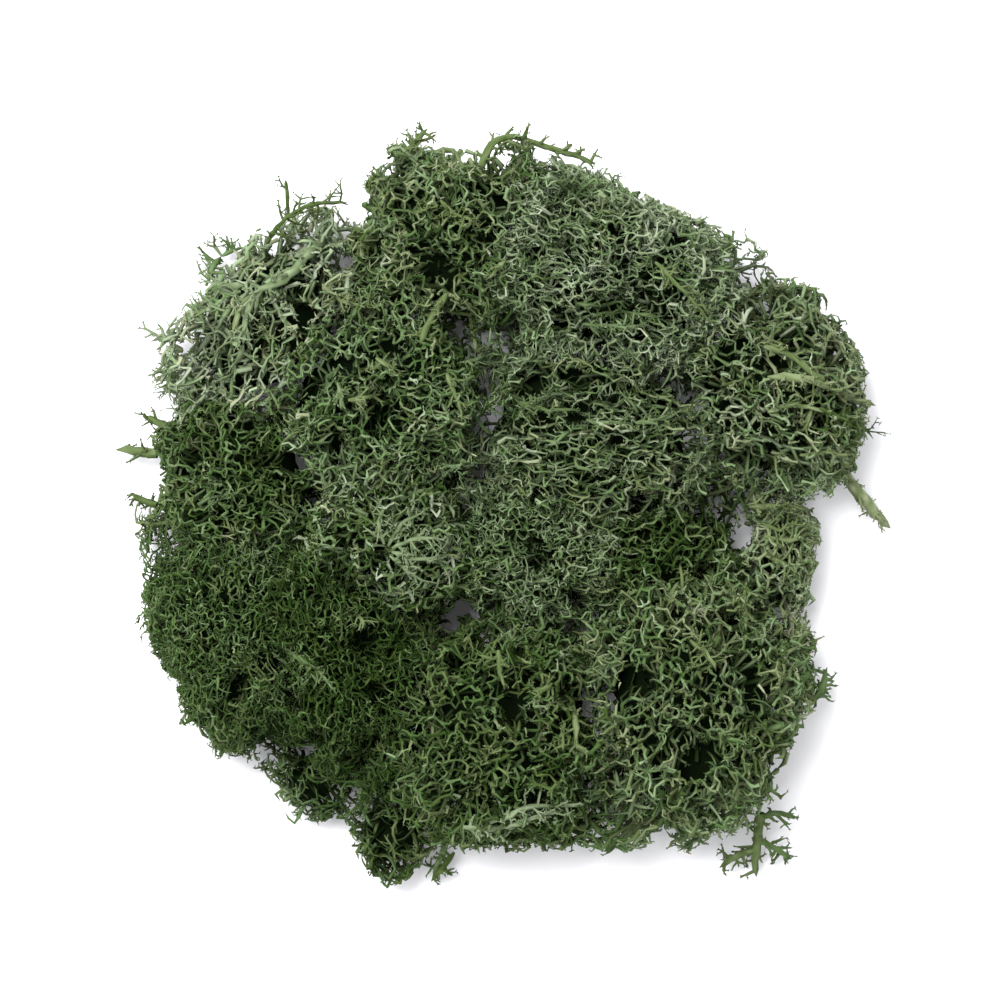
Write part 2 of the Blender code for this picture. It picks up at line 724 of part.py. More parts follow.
def fused(name, heart_mesh, sprigs, colour):
    """One solid object: the heart with all its sprigs joined to it."""
    base = bpy.data.objects.new(name, heart_mesh)
    bpy.context.scene.collection.objects.link(base)
    group = bpy.data.collections.new(name + "_sprigs")
    bpy.context.scene.collection.children.link(group)
    for count, sprig in enumerate(sprigs):
        mesh = sprig_mesh(sprig, f"{name}_sprig_{count}")
        group.objects.link(bpy.data.objects.new(mesh.name, mesh))
    join = base.modifiers.new("join_sprigs", "BOOLEAN")
    join.operation = "UNION"
    join.operand_type = "COLLECTION"
    join.collection = group
    join.solver = "MANIFOLD"
    bpy.context.view_layer.update()
    solid = base.evaluated_get(bpy.context.evaluated_depsgraph_get())
    mesh = bpy.data.meshes.new_from_object(solid)
    base.modifiers.clear()
    base.data = mesh
    for sprig in list(group.objects):
        bpy.data.objects.remove(sprig, do_unlink=True)
    bpy.data.collections.remove(group)
    mesh.name = name
    mesh.materials.clear()
    mesh.materials.append(lichen_material(name, colour))
    mesh.shade_smooth()
    mesh.set_sharp_from_angle(angle=math.radians(SHARP_ANGLE))
    return base


def start_empty():
    """Leave nothing of an earlier scene."""
    for item in list(bpy.data.objects):
        bpy.data.objects.remove(item, do_unlink=True)


def main():
    start_empty()
    bodies = {}
    for count, tuft in enumerate(TUFTS):
        bodies[tuft.name] = Body(tuft, FIRST_PHASE + PHASE_STEP * count)
    for body in bodies.values():
        body.shape_heart(bodies.values())
    for body in bodies.values():
        body.raise_points(bodies.values())
    field = Field(list(bodies.values()))
    sprigs = {tuft.name: [] for tuft in TUFTS}

    for reaching, reached in TIES:
        sprigs[reaching].append(tie_stem(field, bodies, reaching, reached))
    rng = random.Random(SEED)
    for stem in STEMS:
        grower = Grower(field, rng)
        trunk, numbers = long_stem(grower, stem, bodies[stem.node])
        sprigs[stem.node] += [trunk] + side_sprigs(grower, stem, numbers)
    sites = {name: body.top_sites() + body.side_sites() for name, body in bodies.items()}
    for count in range(max(len(places) for places in sites.values())):
        for name, body in bodies.items():
            if count >= len(sites[name]):
                continue
            root, way = sites[name][count]
            grower = Grower(field, rng, body, body.tuft.thick, body.tuft.lean)
            share = STEM_SHARES[count % len(STEM_SHARES)]
            stem_length = max((body.room(root, way) - CROWN_RISE) * share, SHORTEST_STEM)
            sprig = grower.sprig(root, way, stem_length, own_heart=body)
            if sprig is not None:
                sprigs[name].append(sprig)

    for tuft in TUFTS:
        fused(tuft.name, bodies[tuft.name].heart_mesh(), sprigs[tuft.name], tuft.colour)


main()
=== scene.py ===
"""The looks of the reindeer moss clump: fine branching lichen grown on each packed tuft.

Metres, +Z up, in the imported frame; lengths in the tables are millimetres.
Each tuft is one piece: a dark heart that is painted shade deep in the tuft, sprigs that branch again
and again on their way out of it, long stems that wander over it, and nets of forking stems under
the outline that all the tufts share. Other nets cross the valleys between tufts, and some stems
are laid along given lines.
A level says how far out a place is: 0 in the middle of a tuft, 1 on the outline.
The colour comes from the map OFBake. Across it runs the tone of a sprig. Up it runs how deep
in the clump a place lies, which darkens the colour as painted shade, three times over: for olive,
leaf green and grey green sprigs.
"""
import math
from collections import namedtuple

import bmesh
import bpy
import numpy as np
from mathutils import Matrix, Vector
from mathutils.geometry import delaunay_2d_cdt


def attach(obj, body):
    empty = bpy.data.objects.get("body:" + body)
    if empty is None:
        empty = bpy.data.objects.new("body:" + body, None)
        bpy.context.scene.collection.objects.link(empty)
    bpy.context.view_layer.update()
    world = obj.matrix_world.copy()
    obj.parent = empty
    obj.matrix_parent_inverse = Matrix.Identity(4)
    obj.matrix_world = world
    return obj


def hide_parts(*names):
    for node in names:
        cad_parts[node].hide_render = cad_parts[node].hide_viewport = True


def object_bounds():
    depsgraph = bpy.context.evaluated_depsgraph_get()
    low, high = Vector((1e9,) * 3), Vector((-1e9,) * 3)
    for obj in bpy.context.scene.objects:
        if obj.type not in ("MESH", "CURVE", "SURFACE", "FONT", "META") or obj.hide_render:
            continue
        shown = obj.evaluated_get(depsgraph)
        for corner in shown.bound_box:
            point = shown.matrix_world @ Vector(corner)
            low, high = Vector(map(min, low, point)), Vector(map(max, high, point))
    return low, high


MM = 0.001
SEED = 41

# The tufts, as packed: place, half sizes, turn in degrees, height, and the sprigs' room at the
# edge and on top. Then the looks: coarse scales the sprigs, comb is the way they lie, tone is
# their place on the colour scale, vary how much that changes from sprig to sprig, and hues how
# many of them are olive, leaf green and grey green.
Tuft = namedtuple(
    "Tuft", "name x y long short turn height edge crown slot coarse comb tone vary hues")
TUFTS = [
    Tuft("tuft_upper_left", -54, 44, 29, 22.5, 60, 31, 6.5, 13, "sage_lichen",
         1.25, (-0.7, -0.8), 0.85, 0.14, (3, 3, 4)),
    Tuft("tuft_top", -11.5, 63, 27, 27, 0, 36, 6, 13, "green_lichen",
         1.0, (0.1, 0.2), 0.51, 0.14, (5, 3, 2)),
    Tuft("tuft_upper_right", 25, 54, 36, 27, -15, 39, 6, 13, "grey_green_lichen",
         0.82, (-0.5, 0.2), 0.68, 0.14, (1, 3, 6)),
    Tuft("tuft_right", 63.5, 27, 29.5, 26, 105, 34, 6.5, 13, "grey_green_lichen",
         1.0, (0.9, -0.2), 0.62, 0.16, (4, 3, 3)),
    Tuft("tuft_centre_right", 21, 18, 35, 26, -4, 36, 6, 13, "grey_green_lichen",
         0.85, (-0.9, 0.1), 0.57, 0.14, (3, 2, 5)),
    Tuft("tuft_centre_left", -28, 26, 29, 27, 0, 37, 6, 13, "leaf_green_lichen",
         0.95, (0.0, -0.2), 0.52, 0.16, (3, 6, 1)),
    Tuft("tuft_left", -61.5, 7, 25, 22.5, 0, 30, 6, 12, "green_lichen",
         0.92, (-0.3, 0.0), 0.36, 0.15, (4, 4, 2)),
    Tuft("tuft_lower_left", -63, -31, 29, 23, 105, 33, 6, 12, "dark_green_lichen",
         0.70, (-0.1, -0.3), 0.34, 0.13, (3, 5, 2)),
    Tuft("tuft_inner_left", -37, -36, 34, 21, 105, 36, 5.5, 12, "dark_green_lichen",
         0.70, (0.1, -0.3), 0.15, 0.15, (3, 3, 4)),
    Tuft("tuft_middle", -26, -9.5, 25, 19, -12, 35, 5.5, 12, "sage_lichen",
         1.05, (0.3, 0.1), 0.47, 0.20, (3, 2, 5)),
    Tuft("tuft_centre", 7.5, -12, 22.5, 17.5, -10, 31, 5.5, 11, "grey_green_lichen",
         0.72, (0.2, 0.2), 0.57, 0.12, (1, 4, 5)),
    Tuft("tuft_lower_middle", 0, -54, 31.5, 31.5, 0, 38, 6, 14, "leaf_green_lichen",
         1.05, (0.0, -0.15), 0.34, 0.14, (5, 4, 1)),
    Tuft("tuft_lower_right", 45, -46, 35, 31, 80, 38, 6, 14, "leaf_green_lichen",
         1.08, (0.15, 0.0), 0.52, 0.14, (5, 4, 1)),
    Tuft("tuft_lower_edge", 67, -14, 16, 12, 90, 23, 5, 10, "leaf_green_lichen",
         1.15, (0.3, -0.2), 0.70, 0.12, (5, 4, 1)),
    Tuft("tuft_inner_right", 38, -11, 19, 15.5, 0, 25, 5, 10, "green_lichen",
         0.95, (0.0, -0.2), 0.29, 0.13, (5, 4, 1)),
    Tuft("spray_lower_left", -45.5, -66, 12, 10.5, 0, 15, 6, 8, "green_lichen",
         0.85, (-0.2, -0.6), 0.38, 0.12, (3, 5, 2)),
    Tuft("spray_bottom", -26, -78.5, 13, 12, 0, 17, 6, 8, "green_lichen",
         0.9, (0.0, -0.6), 0.40, 0.12, (4, 5, 1)),
]
OWNER = {tuft.name: number for number, tuft in enumerate(TUFTS)}

# Outlines: a tuft's middle as a share of its height, how far its lower half reaches past the
# floor, how square it is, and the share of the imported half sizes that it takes
SEAT = 0.36
UNDER = 1.35
SQUARENESS = 3.0
EDGE_SHARE = 0.95

# Hearts, dark balls of painted shade inside the tufts: the gap between two, the mark that tells
# them among the tones, their highest level under a hollow, their size and how rough they are
HEART_GAP = 2.4
HEART_TONE = -5.0
HEART_LEVEL = 0.66
HEART_SIZE = 0.94
HEART_ROUGH = (-0.06, 0.04)

# The level taken as the surface, how many millimetres a level of 1 stands for, how far down the
# painted shade makes it fully dark, and how the surface is looked for from above
SURFACE = 0.97
LEVEL_SPAN = 19.0
DEEP = 7.0
HIGHEST = 45.0
LOWEST = 2.0
STEP = 0.5

# How the tufts' outlines run into each other, and the lumps on their common surface
BLEND = 9.0
MERGE_LIFT = 0.045
LUMP = 0.07
LUMP_WAVES = [(0.33, 0.21, 0.15, 0.3), (-0.24, 0.36, -0.28, 1.9), (0.47, -0.41, 0.35, 4.1),
              (0.62, 0.55, -0.4, 2.6), (-0.75, 0.38, 0.5, 0.9)]

# Hollows in the clump: place, how wide, and how deep as a level; below zero they are swellings
Hollow = namedtuple("Hollow", "x y wide deep")
HOLLOWS = [Hollow(*row) for row in [
    (-3.7, 40, 1.3, 1), (-4.2, 28, 1.8, 0.35), (-5, 18, 1.7, 1), (-3.8, 14.5, 1.6, 1),
    (-3, 8, 2.2, 0.4), (-9.3, -24, 1.9, 1), (-5.2, -26, 0.9, 1), (-17, -26, 2.6, 0.25),
    (56.3, -8, 2.2, 1), (51, -2.5, 2.2, 0.35), (27, 46, 3.2, 0.4), (33, 48.5, 2.6, 0.35),
    (36.5, 28.5, 2.6, 0.35), (18.7, 28, 2.2, 0.3), (70.5, 21, 2.4, 0.35), (57.5, 11.7, 2.2, 0.35),
    (45.6, -2, 2.2, 0.35), (-61, 31.5, 2.2, 0.35), (16.5, -43.5, 2.8, 0.4), (-31, -56, 3.5, 0.3),
    (-37.5, 57, 1.8, 1), (-54, 45, 1.6, 0.8), (-71, 60, 10, 0.45), (-78, 34, 8, -0.15),
    (-56, 70, 7, 0.35), (-42, 69, 4.5, -0.2), (-34, 69, 4.5, 0.45), (-10, 85, 6.5, 0.6),
    (39, 78, 11, 0.4), (89, 47, 11, 0.15), (91, 26, 8, 0.25), (79, -16, 8, 0.8), (79, -57, 8, 0.55),
    (-83, -44, 9, 0.45), (-83, 7, 5.5, 0.6), (0, -87, 7, 0.42), (26, -76, 7.5, -0.3),
    (49, -79, 6, -0.08), (-53, -57, 6, -0.28), (-81, -8, 5, -0.28), (73, -30, 4, -0.2),
    (-52, -70, 5, 0.5), (-36, -80, 6, 0.35), (-15, -86, 5, 0.3), (50, 0, 5, -0.3),
    (-66, -54, 5, -0.12), (60, 56, 6, -0.32), (3, 83, 4, -0.15), (-80, 26, 5, -0.25), (34, 81, 5, 0.2),
    (14, 79, 5, -0.15), (79, 43, 4, -0.2), (-34, -70, 4.5, -0.25), (55, -1, 4.5, -0.3),
    (-15.5, -27, 5, -0.28), (-3, -27.5, 4.1, -0.22), (-4, 37, 5, -0.18), (-5, 5, 4.1, -0.18),
]]

# Small hollows spread at random: how many, how far out, how wide and how deep. Then the depth of
# those that break the nets, and how wide a hollow still counts as small.
SMALL_HOLLOWS = 140
SMALL_FIELD = 85.0
SMALL_WIDE = (1.3, 3.0)
SMALL_DEEP = (0.20, 0.50)
NET_BREAKS = 0.34
SMALL = 4.0

# How the sprigs grow, order by order. Stems leave the heart, the next orders branch from them,
# and tines end the last. Each has the length of a piece between forks, its thickness as a radius
# for stems and otherwise as a share of its parent's, the share left at its end, the sides of its
# tube, its number of pieces, how many leave a fork, by what angles, and from what level outward.
Order = namedtuple("Order", "piece thick taper sides pieces rate spread inner")
STEM = Order(2.1, 0.60, 0.62, 4, (2, 7), 0, (0, 0), 0)
SIDE = Order(1.5, 0.78, 0.66, 3, (2, 3), 1.5, (48.0, 78.0), 0.60)
TWIG = Order(1.1, 0.82, 0.72, 3, (1, 2), 1.35, (42.0, 75.0), 0.70)
TINE = Order(0.75, 0.80, 1.0, 3, (1, 1), 1.7, (30.0, 65.0), 0.74)

# The least radius and the greatest at a root, where tines leave the last piece, how sizes vary,
# the level and the height beyond which nothing branches, and the limit that marks a free stem
LEAST_RADIUS = 0.15
MOST_RADIUS = 0.5
TINE_PLACES = (0.45, 0.85)
SIZE_VARIES = 0.15
FARTHEST = 1.08
FLOOR_GAP = 0.4
FREE = 9.0

# How branches turn around their parent: within one fork, from fork to fork and from row to row.
# The lift is how much they lean outward.
FORK_TURN = 2.6
NEXT_TURN = 2.4
ROW_TURN = 1.3
LIFT = 0.25

# Stems: how far apart they root, the share kept on the sides and how low those begin, where other
# tufts hide them, how far they reach past the surface, and the levels that hold them. Then how
# strongly long stems follow the comb and are pulled to their level.
PITCH = 5.3
SIDE_THINNING = 0.55
SIDE_BELOW = 0.35
HIDDEN = 0.76
BEYOND = (1.0, 6.0)
LIMITS = (0.86, 1.01)
COMBING = 1.3
LYING_PULL = 7.0

# Where shoots turn along the outline, over how much they do so and turn back past it, and where
# they turn up near the floor
TURN_FROM = 0.82
TURN_WITHIN = 0.16
BACK_WITHIN = 0.06
NEAR_FLOOR = 3.0

# Long stems that lie over one another in layers between the hearts and the outline. The rate
# is how much they branch.
Layer = namedtuple("Layer", "pitch piece radius pieces levels wobble rate")
LAYERS = [
    Layer(4.8, 2.8, 0.50, (4, 7), (0.62, 0.78), 0.34, 0.0),
    Layer(7.8, 2.1, 0.42, (4, 7), (0.80, 0.94), 0.40, 0.6),
]

# Nets of forking stems under the outline: how far apart their knots are, how thick their stems,
# at what level and how unevenly they lie, the share of stems kept, whether these bend, and the
# share of knots that bear twigs. Then those of the valleys between tufts.
Net = namedtuple("Net", "pitch radius level unevenness kept bent twigs")
NETS = [
    Net(3.5, 0.44, 0.80, 0.040, 0.72, False, 0.25),
    Net(2.75, 0.33, 0.925, 0.040, 0.74, True, 0.85),
]
VALLEY_NETS = [
    Net(2.9, 0.42, 0.74, 0.050, 0.90, False, 0.3),
    Net(2.7, 0.33, 0.90, 0.040, 0.80, True, 0.6),
]

# Only tufts higher than this bear nets, and a knot may be this much off its level
NETTED_ABOVE = 20.0
TOLERANCE = 0.05

# A valley is where two tufts' levels differ by less than this, and its nets stop at a lower level
# outside a middle circle
VALLEY = 0.24
VALLEY_FIELD = 90.0
INNER = 62.0
INNER_LEVEL = 1.12
OUTER_LEVEL = 0.98

# How knots swell, and how much of a coarse tuft's net is kept. Nets stretch along the comb.
KNOT_SWELL = 1.5
COARSE = 1.2
OPEN_KEPT = 0.62
COMB_STRETCH = 0.7

# Radii from end to end that many stems share
THIN = (0.8, 0.7, 0.4)
FINE = (0.7, 0.6, 0.4)
EVEN = (0.8, 0.7, 0.5)
STOUT = (0.9, 0.8, 0.6)

# Long single stems that reach out of the tufts: tone, hue, how many sides branch off, radii from
# end to end, and places with their heights
Long = namedtuple("Long", "tone hue rate radii places")
LONG_STEMS = {
    "tuft_left": [
        (0.45, 0, 0.5, (1.3, 1.1, 1.0, 1.5),
         ((-81, 12.3, 7), (-84.5, 12.6, 6), (-88.5, 13.1, 5), (-91, 13.1, 5))),
        (0.3, 0, 1.2, (1.1, 1.0, 0.8), ((-77.5, 18.5, 13), (-81, 19.7, 11), (-84.5, 21, 9.5))),
        (0.25, 0, 1.5, STOUT, ((-81, 0, 7.5), (-84, 1, 6.5), (-87, 3, 5.5))),
    ],
    "tuft_upper_left": [
        (0.3, 0, 0.3, (0.5, 0.45, 0.4), ((-50, 68, 14), (-50.2, 73, 17), (-50.6, 77, 20))),
        (0.3, 0, 0.8, (0.55, 0.5, 0.5, 0.4),
         ((-55, 62, 20), (-51.5, 67, 24), (-44.5, 71, 23), (-36.5, 71.5, 18))),
    ],
    "tuft_top": [
        (0.34, 0, 1.6, (0.9, 0.8, 0.7, 0.5),
         ((-22, 79, 13), (-23, 82.5, 12.5), (-19.5, 86, 12), (-17, 89, 11))),
        (0.42, 0, 0.7, (0.9, 0.85, 0.8, 0.7, 0.6),
         ((-4.5, 80, 21), (-2, 85, 22), (3, 86.8, 21), (14, 83.5, 18), (22.5, 80.5, 15))),
    ],
    "tuft_right": [
        (0.7, 0, 0.9, (1.2, 1.6, 1.2, 0.6),
         ((80, 8.5, 8), (84.3, 3.2, 6), (88.5, -1.8, 4.5), (92.0, -5.4, 3.2))),
    ],
    "tuft_lower_right": [
        (0.45, 1, 1.2, STOUT, ((73.5, -46, 10), (76, -42.5, 9), (77, -38, 8))),
        (0.42, 0, 0.8, (1.3, 1.2, 1.1, 0.6),
         ((61.3, -72.5, 8), (60.9, -77, 6.5), (60, -82, 5), (60.3, -87.6, 3.5))),
        (0.42, 0, 1.0, STOUT, ((60.2, -81, 5.3), (55.5, -82.7, 5.5), (51.5, -85.5, 4.5))),
        (0.42, 1, 1.0, (0.8, 0.7, 0.6), ((60.7, -79, 6), (65, -80.8, 6), (68, -83.7, 5))),
        (0.45, 1, 1.0, (0.8, 0.7, 0.6), ((61.3, -73.5, 7.8), (66, -72.5, 9), (69.5, -74, 9.5))),
    ],
    "tuft_lower_middle": [
        (0.5, 1, 0.8, (0.8, 0.7, 0.6), ((-12.5, -78, 6), (-14, -82.5, 5), (-16, -87, 4))),
    ],
}

# Stems that lie on the clump: tone, hue, how many sides branch off, how far they stand out of
# the outline, radii from end to end, and places as thousandths of the picture, across and down
Lying = namedtuple("Lying", "tone hue rate lift radii places")
LYING_STEMS = {
    "tuft_upper_left": [
        (0.84, 2, 0.5, 1.6, (1.5, 1.5, 1.2, 0.9),
         ((334, 229), (322, 243), (309, 253), (285, 280), (262, 289), (254, 312))),
        (0.88, 2, 0.6, 0.6, (1.0, 0.9, 0.5), ((256, 292), (246, 318), (243, 345))),
        (0.84, 0, 0.6, 0.5, (1.0, 0.9, 0.5), ((250, 296), (236, 318), (231, 350))),
        (0.86, 2, 0.6, 0.5, (0.9, 0.8, 0.5), ((246, 294), (226, 312), (212, 338))),
        (0.8, 0, 0.6, 0.6, (0.9, 0.8, 0.5), ((262, 290), (262, 320), (270, 345))),
        (0.84, 2, 0.7, 0.5, THIN, ((268, 288), (282, 316), (296, 332))),
        (0.9, 2, 0.8, 0.5, (1.1, 0.9, 0.5), ((247, 283), (230, 287), (212, 281))),
        (0.8, 1, 0.6, 0.5, (0.9, 0.9, 0.6), ((240, 292), (214, 306), (192, 318))),
        (0.72, 1, 0.9, 0.8, (0.9, 1.0, 1.1), ((206, 286), (214, 262), (222, 256))),
        (0.66, 1, 1.2, 0.8, (0.9, 0.8, 0.8), ((222, 256), (232, 250), (236, 242))),
        (0.86, 2, 0.8, 0.8, (0.8, 0.7, 0.8), ((222, 256), (216, 247), (213, 240))),
        (0.84, 2, 0.8, 0.5, (0.9, 0.8, 0.8), ((172, 342), (160, 338), (150, 342))),
        (0.8, 2, 0.8, 0.5, (0.7, 0.8, 0.6), ((163, 354), (171, 367), (167, 391))),
        (0.78, 2, 0.9, 0.5, (0.8, 0.6, 0.4), ((333, 231), (350, 228), (372, 232))),
        (0.8, 0, 0.9, 0.5, (0.9, 0.7, 0.4), ((322, 284), (341, 300), (366, 308))),
        (0.92, 2, 0.9, 0.4, FINE, ((205, 395), (192, 408), (178, 418))),
        (0.84, 2, 0.8, 0.4, THIN, ((243, 345), (234, 372), (230, 400))),
    ],
    "tuft_top": [
        (0.66, 0, 0.6, 0.8, (1.1, 1.0, 0.8), ((447, 293), (432, 316), (420, 345))),
        (0.72, 0, 0.8, 0.6, THIN, ((505, 261), (496, 270), (486, 280))),
        (0.66, 0, 0.7, 0.6, EVEN, ((469, 312), (473, 332), (476, 352))),
        (0.62, 0, 0.9, 0.4, FINE, ((440, 200), (456, 215), (480, 221))),
    ],
    "tuft_centre_left": [
        (0.76, 2, 0.8, 0.6, (0.9, 0.7, 0.4), ((338, 383), (341, 396), (341, 411))),
        (0.72, 0, 0.8, 0.6, (0.9, 0.7, 0.4), ((348, 400), (366, 397), (385, 393))),
        (0.7, 0, 0.8, 0.6, THIN, ((376, 358), (388, 367), (400, 376))),
        (0.7, 0, 0.8, 0.6, (1.0, 0.8, 0.4), ((447, 374), (455, 394), (462, 416))),
    ],
    "tuft_centre_right": [
        (0.7, 2, 0.9, 0.4, THIN, ((587, 420), (609, 423), (634, 423))),
        (0.7, 2, 0.9, 0.4, THIN, ((636, 423), (656, 420), (678, 414))),
        (0.62, 2, 0.9, 0.4, FINE, ((520, 402), (548, 410), (580, 408))),
    ],
    "tuft_upper_right": [
        (0.66, 2, 0.9, 0.5, THIN, ((583, 324), (610, 327), (640, 326))),
        (0.62, 2, 0.9, 0.5, FINE, ((592, 316), (620, 312), (660, 318))),
        (0.66, 2, 0.9, 0.4, FINE, ((576, 303), (600, 306), (622, 300))),
        (0.66, 0, 0.8, 0.4, (0.8, 0.6, 0.4), ((655, 262), (680, 288), (712, 322))),
    ],
    "tuft_right": [
        (0.84, 0, 0.7, 1.2, (0.9, 1.1, 1.4, 1.5, 1.1, 0.7),
         ((768, 377), (799, 378), (822, 384), (838, 392), (856, 400), (876, 406))),
        (0.7, 0, 0.5, 1.0, (0.7, 0.9, 1.3), ((764, 346), (792, 356), (826, 384))),
        (0.72, 0, 0.8, 0.5, EVEN, ((748, 507), (778, 506), (808, 508))),
        (0.74, 0, 0.5, 0.8, STOUT, ((768, 412), (796, 405), (830, 412))),
        (0.7, 0, 0.5, 0.7, (0.8, 0.7, 0.6), ((812, 408), (808, 422), (800, 432))),
        (0.4, 0, 0.8, 0.7, (0.8, 0.7, 0.5, 0.4), ((820, 408), (842, 420), (868, 432), (874, 440))),
        (0.72, 0, 0.7, 0.4, EVEN, ((800, 455), (830, 452), (856, 452))),
        (0.66, 0, 0.9, 0.4, FINE, ((762, 523), (780, 530), (797, 520))),
    ],
    "tuft_lower_right": [
        (0.7, 0, 0.8, 0.5, STOUT, ((745, 590), (744, 610), (746, 632))),
        (0.66, 0, 0.8, 0.5, EVEN, ((690, 640), (706, 652), (716, 672))),
        (0.66, 1, 0.8, 0.5, EVEN, ((632, 650), (648, 664), (640, 684))),
        (0.62, 1, 0.8, 0.5, EVEN, ((700, 742), (724, 736), (744, 746))),
    ],
    "tuft_lower_middle": [
        (0.72, 0, 0.5, 0.7, (1.2, 1.0, 0.7), ((570, 693), (575, 720), (577, 744), (592, 753))),
        (0.62, 0, 0.8, 0.6, (0.9, 0.7, 0.5), ((552, 683), (542, 690), (531, 691))),
        (0.62, 0, 0.7, 0.6, (0.8, 0.7, 0.6), ((565, 723), (562, 738), (563, 753))),
        (0.66, 0, 0.8, 0.6, (1.0, 0.8, 0.5), ((498, 650), (499, 664), (500, 682))),
        (0.88, 2, 0.5, 0.9, (0.9, 0.8, 0.8, 0.6), ((490, 823), (512, 814), (538, 806), (580, 807))),
        (0.9, 2, 0.7, 0.7, (0.8, 0.7, 0.6), ((506, 828), (532, 818), (562, 810))),
        (0.86, 2, 0.7, 0.5, STOUT, ((463, 827), (490, 829), (518, 827))),
        (0.5, 0, 0.5, 0.5, (1.0, 0.9, 0.7), ((454, 852), (444, 866), (431, 882))),
    ],
    "tuft_lower_edge": [
        (0.72, 0, 0.7, 0.6, STOUT, ((764, 536), (788, 540), (812, 532))),
        (0.68, 0, 0.7, 0.5, EVEN, ((766, 556), (786, 566), (800, 580))),
    ],
    "tuft_lower_left": [
        (0.66, 2, 0.8, 0.4, FINE, ((272, 652), (290, 668), (308, 690))),
        (0.62, 2, 0.8, 0.4, FINE, ((284, 648), (304, 664), (322, 686))),
    ],
    "tuft_inner_left": [
        (0.6, 2, 0.8, 0.4, FINE, ((298, 656), (318, 670), (336, 694))),
    ],
    "tuft_middle": [
        (0.84, 2, 0.9, 0.5, THIN, ((392, 548), (418, 538), (446, 540))),
        (0.86, 2, 0.9, 0.5, THIN, ((392, 552), (416, 560), (440, 556))),
        (0.84, 2, 0.9, 0.5, THIN, ((390, 556), (408, 572), (430, 584))),
        (0.8, 2, 0.9, 0.5, THIN, ((388, 546), (402, 524), (424, 512))),
        (0.78, 2, 0.9, 0.5, THIN, ((384, 544), (380, 522), (386, 504))),
    ],
}

# How the given stems are laid: their pieces, how much slimmer and darker they are than given, how
# slim they start, how rough they are, and how much more they branch
LYING_PIECE = 1.7
LYING_SLIMMER = 0.78
LYING_START = 0.45
STEM_ROUGH = 0.14
LYING_DARKER = 0.22
LYING_RATE = 1.5

# The picture in thousandths, where the clump's origin is in it, how wide it is at the clump and
# on the floor, and the camera's axis on the floor
PICTURE = 1000.0
PICTURE_MIDDLE = (500.5, 505.5)
PHOTO_WIDTH = 235.7
FLOOR_WIDTH = 237.6
CAMERA_HEIGHT = 1.2
SENSOR = 36.0
AXIS = ((PICTURE / 2.0 - PICTURE_MIDDLE[0]) * PHOTO_WIDTH / PICTURE,
        (PICTURE_MIDDLE[1] - PICTURE / 2.0) * PHOTO_WIDTH / PICTURE)

# The colours by tone, near the outline and deep in the clump, where they are darkened as painted
# shade, and the tints of the three hues
OUTER_COLOURS = [
    (0.00, (0.020, 0.042, 0.006)), (0.25, (0.053, 0.089, 0.025)), (0.50, (0.107, 0.151, 0.065)),
    (0.75, (0.200, 0.248, 0.143)), (1.00, (0.330, 0.375, 0.262))]
DEEP_SHADE_COLOURS = [
    (0.00, (0.0008, 0.003, 0.0001)), (0.25, (0.002, 0.006, 0.0004)), (0.50, (0.005, 0.012, 0.001)),
    (0.75, (0.012, 0.023, 0.004)), (1.00, (0.030, 0.045, 0.016))]
TINTS = [(1.04, 0.99, 0.92), (0.91, 1.02, 0.90), (0.99, 1.0, 1.02)]

# The map, and how far a face's corners are nudged apart in it so that each face has an area there
MAP_NAME = "OFBake"
NUDGE = 0.004

# The material's fine roughness and bump, the floor, and the light
ROUGHNESS = (0.62, 0.95)
ROUGH_SCALE = 700.0
BUMP_SCALE = 2600.0
BUMP_HEIGHT = 0.12
BUMP_STRENGTH = 0.5
SHINE = 0.06
FLOOR_SIZE = 6.0
FLOOR_DROP = 0.0002
FLOOR_COLOUR = (0.90, 0.895, 0.925, 1.0)
ROOM_COLOUR = (0.99, 0.99, 1.0, 1.0)
ROOM_STRENGTH = 1.15
KEY_PLACE = (-0.35, 0.40, 1.05)
KEY_SIZE = 0.7
KEY_POWER = 22.0


def unit(vectors):
    """The same directions, each one long."""
    return vectors / np.maximum(np.linalg.norm(vectors, axis=-1, keepdims=True), 1e-12)


def dot(one, other):
    """Row by row products, kept as a column."""
    return (one * other).sum(axis=-1, keepdims=True)


